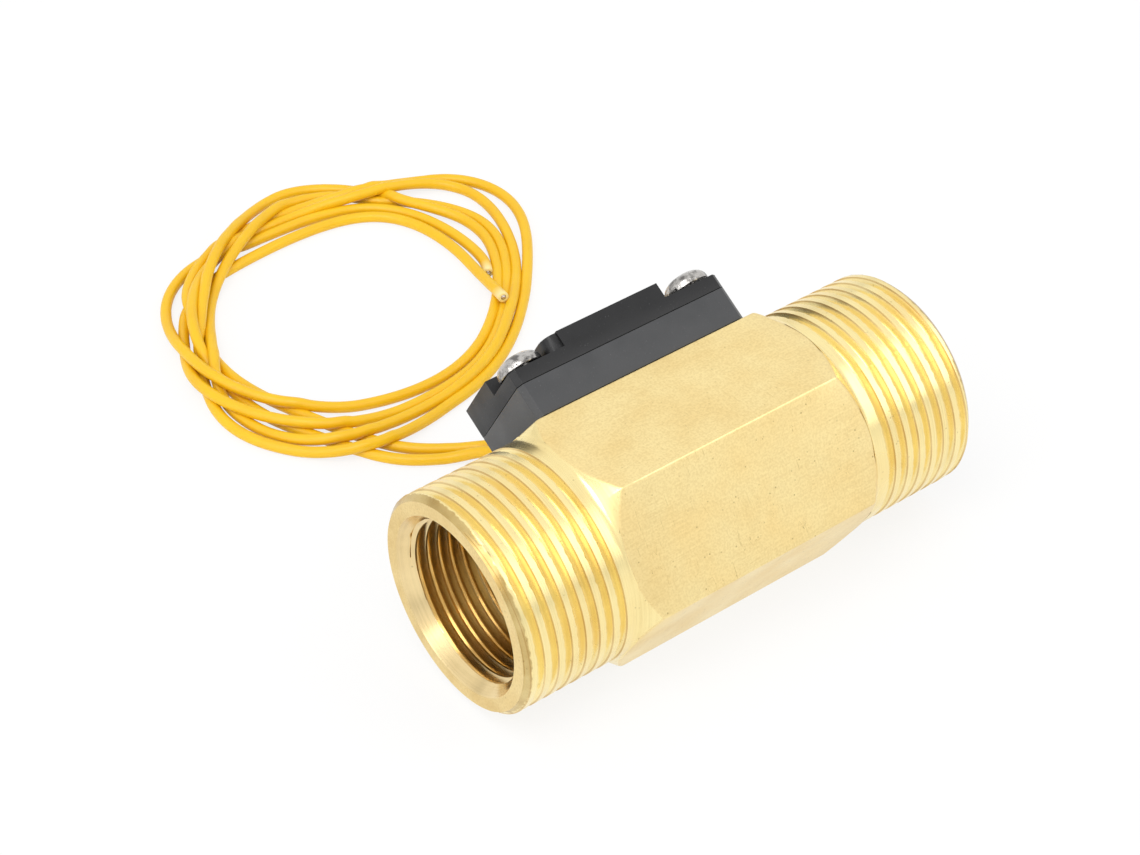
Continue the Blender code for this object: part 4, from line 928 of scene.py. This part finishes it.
@dataclass
class Leads:
    """The two leads, from their solder inside the housing to the coil that they lie in together.

    Each route has three parts. The first, inside the housing, and the second, down to the coil, are the
    CAD leads' points in mm. The third was read on the photograph: for each point its pixel and the
    layer it lies in, from 0 on the floor. The strands then settle under their weight and push each other
    apart, with each point pulled to the line of sight of its pixel.
    """
    photo: Photo
    diameter: float = 1.8
    core: float = 0.8
    step: float = 1.2               # between two points of a strand
    ease: int = 12                  # points over which the fairing sets in
    still: int = 3                  # number of the tail's last point that stays as in the CAD
    rounds: int = 400
    clear: float = 0.03             # wanted between two strands, and under the lowest
    sink: float = 0.03              # in a round of settling
    look: float = 1.2               # how much further off two strands are watched
    look_again: int = 10            # rounds between two looks for strands that come close
    next_along: int = 4             # points of one strand this close in number never push each other
    evenness: float = 1000.0        # how much the hand-read line is faired
    stiffness: float = 30.0         # of the wire, in a round of settling
    pull: float = 0.25              # towards the line of sight, in a round of settling
    press: float = 0.40             # of two strands that meet, in a round of settling
    exits: tuple = ((-8.2, 20.71, 17.97), (-5.55, 20.71, 17.97))    # where each leaves its hole
    first_inside: tuple = ((-8.2, 2.2, 2.7), (-8.2, 4.6, 2.7), (-8.2, 6.9, 2.7), (-8.2, 10.1, 2.7))
    second_inside: tuple = ((2.0, 0.7, 2.7), (1.6, 0.7, 2.7), (-3.2, 2.5, 2.7), (-5.55, 6.9, 2.7),
                            (-5.55, 10.1, 2.7))
    first_tail: tuple = ((-8.0, 23.7, 13.1), (-7.9, 26.6, 9.2), (-7.6, 30.8, 5.6), (-7.5, 34.6, 3.7),
                         (-8.2, 38.2, 2.3), (-9.9, 39.5, 1.6), (-12.0, 40.1, 1.15), (-14.0, 40.8, 1.0),
                         (-16.8, 42.7, 1.0), (-18.8, 45.2, 1.0), (-20.5, 47.6, 1.0))
    second_tail: tuple = ((-5.3, 23.7, 13.1), (-4.9, 26.6, 9.2), (-4.4, 30.8, 5.6), (-4.6, 35.1, 3.2),
                          (-6.3, 38.9, 1.8), (-8.9, 41.1, 1.0), (-11.5, 42.1, 1.0), (-13.7, 43.7, 1.0),
                          (-15.3, 46.0, 1.0))
    first_coil: tuple = (
        (350, 447, 0), (320, 437, 0), (290, 428, 0), (262, 414, 0), (236, 395, 0), (214, 371, 0), (201, 350, 0),
        (194, 328, 1), (192, 305, 1), (197, 285, 1), (207, 268, 1), (223, 252, 0), (250, 236, 0), (285, 219, 0),
        (320, 207, 0), (360, 195, 1), (398, 186, 1), (426, 182, 1), (457, 187, 0), (473, 194, 0), (485, 204, 0),
        (496, 215, 0), (504, 228, 0), (511, 244, 0), (514, 260, 0), (515, 275, 0), (513, 291, 0), (509, 307, 0),
        (505, 321, 1), (492, 353, 1), (475, 373, 1), (454, 388, 1), (433, 402, 1), (412, 413, 1), (384, 425, 1),
        (356, 434, 1), (328, 439, 1), (300, 439, 1), (275, 435, 1), (252, 426, 1), (233, 411, 1), (218, 387, 1),
        (213, 351, 1), (209, 333, 1), (209, 315, 1), (212, 298, 1), (220, 276, 1), (230, 258, 1), (242, 241, 1),
        (268, 214, 1), (295, 202, 1), (327, 197, 0), (355, 198, 0), (385, 198, 0), (411, 203, 0), (455, 211, 0),
        (469, 214, 0), (483, 222, 0), (494, 232, 0), (500, 245, 0), (503, 259, 0), (505, 275, 0), (506, 291, 0),
        (504, 301, 0), (501, 317, 0), (488, 350, 0), (475, 368, 0), (454, 384, 0), (433, 396, 0), (412, 406, 0),
        (384, 416, 0), (356, 421, 0), (328, 424, 1), (300, 422, 1), (276, 418, 1), (252, 412, 1), (228, 403, 1),
        (206, 391, 1), (190, 373, 1), (185, 345, 0), (187, 322, 0), (189, 305, 0), (200, 290, 0), (223, 277, 0),
        (255, 256, 0), (286, 240, 0), (333, 225, 0), (372, 215, 0), (411, 223, 0), (433, 234, 0), (454, 249, 0),
        (475, 268, 1), (490, 284, 1), (504, 297, 1))
    second_coil: tuple = (
        (398, 448, 0), (350, 432, 0), (299, 413, 0), (266, 398, 0), (232, 377, 0), (215, 362, 0), (206, 347, 0),
        (197, 330, 0), (190, 315, 1), (187, 300, 1), (187, 290, 1), (190, 280, 1), (199, 267, 1), (208, 259, 1),
        (224, 246, 0), (245, 228, 0), (281, 217, 0), (317, 203, 0), (359, 191, 1), (398, 185, 1), (441, 179, 0),
        (457, 180, 0), (473, 182, 0), (489, 187, 0), (501, 193, 0), (513, 204, 0), (521, 219, 0), (526, 234, 0),
        (527, 251, 0), (527, 270, 0), (525, 291, 0), (520, 312, 0), (515, 330, 0), (502, 354, 0), (477, 383, 0),
        (445, 407, 0), (417, 425, 0), (386, 440, 1), (349, 449, 1), (317, 452, 1), (300, 451, 0), (275, 446, 0),
        (248, 437, 0), (227, 424, 0), (212, 405, 0), (207, 387, 0), (202, 369, 0), (200, 351, 0), (200, 333, 0),
        (201, 315, 1), (202, 297, 1), (207, 275, 1), (214, 257, 1), (224, 241, 1), (241, 222, 1), (265, 204, 1),
        (294, 192, 0), (328, 190, 0), (357, 193, 0), (385, 197, 0), (410, 205, 0), (426, 206, 0), (441, 210, 0),
        (457, 214, 0), (471, 222, 0), (481, 232, 0), (489, 243, 0), (495, 255, 0), (499, 270, 0), (501, 283, 0),
        (500, 296, 0), (497, 310, 0), (491, 322, 0), (482, 338, 0), (461, 366, 0), (440, 378, 0), (412, 391, 0),
        (384, 401, 0), (356, 406, 0), (328, 407, 1), (288, 403, 1), (264, 398, 2), (240, 389, 2), (216, 377, 2),
        (197, 363, 1), (181, 347, 1), (171, 331, 0), (165, 315, 0), (165, 303, 0), (170, 293, 0), (178, 284, 0),
        (190, 271, 0), (207, 258, 0), (228, 250, 0), (268, 235, 0), (307, 221, 1), (346, 208, 1), (385, 211, 0),
        (411, 214, 0), (424, 218, 0), (439, 226, 0), (455, 236, 0), (473, 248, 0), (483, 259, 0), (489, 272, 1))
    insulation: WireInsulation = WireInsulation()

    def spread(self, points: np.ndarray, count: int | None = None) -> np.ndarray:
        """Space points evenly on the smooth curve through a route.

        Between two points the curve is the cubic whose slope at each is half the way from the point before
        to the point after.

        Args:
            points: The route.
            count: How many points are wanted, or None for one every step.

        Returns:
            The points.
        """
        padded = np.concatenate([2 * points[:1] - points[1:2], points, 2 * points[-1:] - points[-2:-1]])
        t = np.linspace(0, 1, 12, endpoint=False)[None, :, None]
        a, b, c, d = (padded[i:len(padded) - 3 + i][:, None, :] for i in range(4))
        dense = 0.5 * (2 * b + (c - a) * t + (2 * a - 5 * b + 4 * c - d) * t ** 2
                       + (3 * b - a - 3 * c + d) * t ** 3)
        dense = np.concatenate([dense.reshape(-1, 3), points[-1:]])
        run = run_along(dense)
        even = np.linspace(0, run[-1], count or int(run[-1] / self.step) + 1)
        return np.stack([np.interp(even, run, dense[:, i]) for i in range(3)], axis=1)

    def route(self, inside: tuple, tail: tuple, coil: tuple, housing: Housing) -> tuple[np.ndarray, int]:
        """Join a lead's three parts into one line.

        Args:
            inside: Its points inside the housing, in the housing's frame.
            tail: Its points from the housing to the coil.
            coil: The pixels and layers of its points in the coil.
            housing: The housing that it comes out of.

        Returns:
            Its evenly spaced points, and how many of them the coil doesn't move.
        """
        turn = np.array(housing.frame())
        hidden = np.array(inside) @ turn[:3, :3].T + turn[:3, 3]
        marks = np.array(coil, float)
        heights = self.diameter / 2 + marks[:, 2] * self.diameter
        lying = self.photo.at_height(marks[:, :2], heights)
        points = self.spread(np.concatenate([hidden, np.array(tail), lying]))
        held = int(np.argmin(np.linalg.norm(points - np.array(tail[self.still]), axis=1)))
        faired = self.stiff(len(points), self.evenness) @ points
        blend = smooth_step(held, held + self.ease, np.arange(len(points)))[:, None]
        return points + blend * (faired - points), held

    def stiff(self, count: int, weight: float) -> np.ndarray:
        """Return the matrix that fairs points, with |new - old|^2 + weight |third difference|^2 least."""
        third = np.diff(np.eye(count), n=3, axis=0)
        return np.linalg.inv(np.eye(count) + weight * third.T @ third)

    def settle(self, leads: list[np.ndarray], held: list[int]) -> list[np.ndarray]:
        """Let the strands sink and push each other apart.

        Each round, every free point falls a little, moves towards the smooth curve through its neighbours,
        is pushed to one diameter from any other strand, is pulled to its line of sight and is lifted to the
        floor.

        Args:
            leads: The points of both leads.
            held: How many points at each lead's start stay where they are.

        Returns:
            The settled points of both leads.
        """
        eye = np.array(self.photo.eye)
        points = np.concatenate(leads)
        owner = np.repeat([0, 1], [len(lead) for lead in leads])
        rays = points - eye
        rays /= np.linalg.norm(rays, axis=1)[:, None]
        free = np.concatenate([np.arange(len(lead)) > count for lead, count in zip(leads, held)])
        number = np.arange(len(points))
        ends = np.cumsum([0, *(len(lead) for lead in leads)])
        wanted = self.diameter + self.clear
        stiff = [self.stiff(len(lead), self.stiffness) for lead in leads]
        first = second = np.empty(0, int)
        for turn in range(self.rounds):
            if turn % self.look_again == 0:
                gap = np.linalg.norm(points[:, None] - points[None], axis=-1)
                near = (gap < wanted + self.look) & (number[:, None] < number[None])
                near &= (owner[:, None] != owner[None]) | (number[None] - number[:, None] > self.next_along)
                first, second = np.nonzero(near)
            old = points.copy()
            points[:, 2] -= self.sink * free
            for start, end, fairing in zip(ends, ends[1:], stiff):
                points[start:end] = fairing @ points[start:end]
            way = points[second] - points[first]
            gap = np.linalg.norm(way, axis=1)
            push = np.maximum(wanted - gap, 0)[:, None] * way / np.maximum(gap, 1e-6)[:, None] * self.press
            np.add.at(points, second, push)
            np.add.at(points, first, -push)
            off = points - eye
            off -= (off * rays).sum(axis=1)[:, None] * rays
            points -= self.pull * off
            points[:, 2] = np.maximum(points[:, 2], self.diameter / 2 + self.clear)
            points = np.where(free[:, None], points, old)
        gap = np.linalg.norm(points[first] - points[second], axis=1)
        log.info("leads settled: the closest strands are %.2f mm apart", gap.min())
        split = len(leads[0])
        return [points[:split], points[split:]]

    def tube(self, name: str, path: np.ndarray, finish: bpy.types.Material) -> bpy.types.Object:
        """Carry a circle along a path, with a rounded end and a hollow for the core at the cut tip.

        A point is path + radius (cos b side + sin b up), where side is square to the path and level.

        Args:
            name: The piece's name.
            path: The points that it follows.
            finish: Its insulation.

        Returns:
            The tube.
        """
        forward, side, up = level_axes(np.gradient(path, axis=0))
        around = np.radians(np.linspace(0, 360, 20, endpoint=False))
        ring = np.cos(around)[None, :, None] * side[:, None, :] + np.sin(around)[None, :, None] * up[:, None, :]
        radius, hollow = self.diameter / 2, self.core / 2
        start = [path[0] + r * ring[0] for r in (0.0, radius * 0.9)]
        tip = [path[-1] + r * ring[-1] + move * forward[-1] for r, move in (
            (radius * 0.93, 0.1), (hollow + 0.08, 0.14), (hollow + 0.06, -0.5), (0.0, -0.5))]
        points = np.concatenate([np.array(start), path[:, None, :] + radius * ring, np.array(tip)])
        run = run_along(path)
        quads = grid_quads(len(points), len(around), True)
        piece = make_piece(name, points.reshape(-1, 3), quads, [finish], sharp=60)
        mesh = piece.data
        places = np.empty(len(mesh.vertices) * 3)
        mesh.vertices.foreach_get("co", places)
        places = places.reshape(-1, 3) / MM
        nearest = np.concatenate([((part[:, None] - path[None]) ** 2).sum(axis=-1).argmin(axis=1)
                                  for part in np.array_split(places, 40)])
        mesh.attributes.new("to_tip", "FLOAT", "POINT").data.foreach_set("value", run[-1] - run[nearest])
        return piece

    def strands(self, name: str, path: np.ndarray, finish: bpy.types.Material) -> bpy.types.Object:
        """Make the core's end that shows in the cut tip: seven twisted strands in a domed bundle.

        At the angle b a ring has the radius share (1 + 0.07 cos 6b) and stands out by 0.22 cos(1.4 share)
        (1 + 0.12 share cos 6b). Behind the dome it goes 0.45 mm into the hollow.

        Args:
            name: The piece's name.
            path: The lead's points.
            finish: Its copper.

        Returns:
            The bundle's end.
        """
        end = path[-1]
        forward, side, up = level_axes(end - path[-2])
        share = np.linspace(0, 1, 12)[:, None]
        around = np.radians(np.linspace(0, 360, 48, endpoint=False))[None, :]
        lobes = 1 + 0.07 * np.cos(6 * around)
        radius = np.concatenate([share * lobes, np.ones((3, 1)) * lobes]) * self.core / 2
        move = np.concatenate([0.22 * np.cos(share * 1.4) * (1 + 0.12 * share * np.cos(6 * around)),
                               np.array([[0.0], [-0.2], [-0.45]]) * np.ones_like(around)])
        radius = np.concatenate([radius, radius[-1:] * 0])
        move = np.concatenate([move, move[-1:]])
        points = (end + (radius * np.cos(around))[..., None] * side + (radius * np.sin(around))[..., None] * up
                  + move[..., None] * forward)
        return make_piece(name, points.reshape(-1, 3), grid_quads(len(radius), 48, True), [finish])

    def build(self, housing: Housing, copper: bpy.types.Material) -> None:
        """Make both leads and their tips.

        Args:
            housing: The housing that they come out of.
            copper: The finish of the cores.
        """
        routes = [self.route(self.first_inside, self.first_tail, self.first_coil, housing),
                  self.route(self.second_inside, self.second_tail, self.second_coil, housing)]
        settled = self.settle([points for points, _ in routes], [held for _, held in routes])
        finish = self.insulation.build()
        for number, (path, held) in enumerate(zip(settled, (held for _, held in routes)), 1):
            path = self.spread(path, 2 * len(path))
            lead = self.tube(f"lead_{number}_insulation", path, finish)
            tip = self.strands(f"lead_{number}_tip", path, copper)
            for piece, slot in ((lead, "yellow_pvc"), (tip, "tinned_copper")):
                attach(piece, "sensor")
            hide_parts(f"lead_{number}", "lead_coil")


@dataclass
class FlowParts:
    """The hidden parts, whose CAD meshes stay and get their finishes."""
    travel: float = 8.0             # of the shuttle
    finishes: dict[tuple[str, ...], Plain] = field(default_factory=lambda: {
        ("shuttle",): Plain("moulded white acetal", "#E9E9E4", "#DCDCD6", 0.35, grain=1.5),
        ("poppet_seal",): Plain("moulded nitrile rubber", "#232323", "#2E2D2C", 0.62, grain=0.5, depth=0.02),
        ("ring_magnet",): Plain("ground hard ferrite", "#3C3938", "#4A4644", 0.5, 0.3, 0.35, depth=0.015),
        ("magnet_clip",): Plain("stamped stainless steel", "#C9C9C6", "#B4B4B0", 0.25, 1.0, 0.4, (1, 0.1, 1),
                                0.004),
        ("return_spring",): Plain("drawn stainless wire", "#CFCFCB", "#B9B9B4", 0.22, 1.0, 0.3, (1, 0.2, 0.2),
                                  0.004),
        ("spring_stop",): Plain("moulded grey acetal", "#8D9092", "#83868A", 0.4, grain=1.2),
        ("retaining_ring",): Plain("blued spring steel", "#8F9090", "#77787A", 0.3, 1.0, 0.4, depth=0.005),
        ("reed_glass",): Plain("drawn green glass", "#A9CBB0", "#9CC3A6", 0.05, grain=2.5, depth=0.002,
                               clear=0.75),
        ("reed_blade_left", "reed_blade_right"):
            Plain("plated nickel iron", "#CBC8C0", "#B7B3AA", 0.25, 1.0, 0.3, (0.1, 1, 1), 0.003),
        ("solder_left", "solder_right"):
            Plain("tin solder", "#C6C7C9", "#A9AAAD", 0.3, 1.0, 0.7, depth=0.03),
        ("lead_1_core", "lead_2_core"):
            Plain("tinned copper strands", "#D8D3CB", "#B79B84", 0.3, 1.0, 0.25, depth=0.02)})

    def spring(self) -> None:
        """Copy the dressed return spring as a piece of its own."""
        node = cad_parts["return_spring"]
        piece = new_object("return_spring_wire", node.data.copy())
        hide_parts("return_spring")
        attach(piece, "sensor")
        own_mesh(piece)

    def build(self) -> dict[str, bpy.types.Material]:
        """Dress the CAD nodes, and return the finishes by the name of their stuff."""
        made: dict[str, bpy.types.Material] = {}
        for nodes, finish in self.finishes.items():
            made[finish.stuff] = finish.build()
            for node in nodes:
                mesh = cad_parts[node].data
                mesh.materials.clear()
                mesh.materials.append(made[finish.stuff])
                log.info("%s: %s", node, finish.stuff)
        self.spring()
        return made


@dataclass(frozen=True)
class Lamp:
    """A square soft lamp: its place, aim and width in metres, and its watts."""
    name: str
    spot: tuple[float, float, float]
    aim: tuple[float, float, float]
    size: float
    watts: float

    def build(self) -> None:
        """Hang the lamp."""
        light = bpy.data.lights.new(self.name, "AREA")
        light.shape, light.size, light.energy = "SQUARE", self.size, self.watts
        holder = new_object(self.name, light)
        way = Vector(self.aim) - Vector(self.spot)
        holder.matrix_world = Matrix.Translation(self.spot) @ way.to_track_quat("-Z", "Y").to_matrix().to_4x4()


@dataclass
class Studio:
    """A white sweep under soft lamps."""
    lamps: tuple[Lamp, ...] = (Lamp("key lamp", (-0.35, -0.15, 0.75), (0, 0.03, 0), 0.5, 2.6),
                               Lamp("fill lamp", (0.6, -0.5, 0.6), (0, 0.02, 0), 0.7, 1.5),
                               Lamp("left lamp", (-0.75, 0.0, 0.3), (0, 0.03, 0), 0.4, 0.8))
    sky: float = 0.8
    paper: float = 0.92
    glow: float = 0.82
    horizon: float = 0.22           # how much darker the room is just over its horizon
    reach: float = 3.0              # metres from the middle of the floor to its edges

    def white_light(self, add: AddNode) -> bpy.types.Node:
        """Return 1 for a ray from the camera, a mirror or glass, and 0 for one that lights a surface."""
        ray = add("LightPath").outputs
        straight = add("Math", ray["Is Camera Ray"], ray["Is Glossy Ray"], operation="MAXIMUM")
        return add("Math", straight, ray["Is Transmission Ray"], operation="MAXIMUM")

    def floor(self) -> None:
        """Lay the floor: white where it is lit, with the object's shadow kept."""
        mesh = bpy.data.meshes.new("floor")
        corners = [(x * self.reach, y * self.reach, 0) for x, y in ((-1, -1), (1, -1), (1, 1), (-1, 1))]
        mesh.from_pydata(corners, [], [(0, 1, 2, 3)])
        floor = new_object("floor", mesh)
        material, add = new_material("white paper sweep")
        paper = add("BsdfDiffuse", (self.paper, self.paper, self.paper, 1))
        glow = add("Emission", (1, 1, 1, 1), 1.0)
        share = add("Math", self.white_light(add), self.glow, operation="MULTIPLY")
        add("OutputMaterial", add("MixShader", share, paper, glow))
        mesh.materials.append(material)

    def world(self) -> None:
        """Make the surroundings: white to look at, and dimmer as a light."""
        world = bpy.data.worlds.new("white studio")
        bpy.context.scene.world = world
        world.use_nodes = True
        world.node_tree.nodes.clear()
        add = partial(add_node, world.node_tree)
        up = add("SeparateXYZ", add("TexCoord").outputs["Generated"]).outputs["Z"]
        over = add("Math", add("Math", up, 0.2, operation="SUBTRACT"), operation="ABSOLUTE")
        band = add("MapRange", over, 0.03, 0.14, 1.0 - self.horizon, 1.0)
        seen = add("LightPath").outputs["Is Camera Ray"]
        light = add("MapRange", self.white_light(add), 0, 1, self.sky, 1.0)
        strength = add("Math", add("Math", light, seen, operation="MAXIMUM"),
                       add("Math", band, seen, operation="MAXIMUM"), operation="MULTIPLY")
        add("OutputWorld", add("Background", (1, 1, 1, 1), strength))

    def build(self) -> None:
        """Set up the floor, the world, the lamps and the plain view settings."""
        self.floor()
        self.world()
        for lamp in self.lamps:
            lamp.build()
        bpy.context.scene.view_settings.view_transform = "Standard"


def main() -> None:
    """Build every piece in order."""
    logging.basicConfig(level=logging.INFO, format="%(name)s: %(message)s")
    photo = Photo()
    photo.build()
    hidden = FlowParts().build()
    housing = Housing()
    Leads(photo).build(housing, hidden["tinned copper strands"])
    PipeBody().build()
    housing.build()
    Studio().build()
    bpy.context.view_layer.update()


if __name__ == "__main__":
    main()
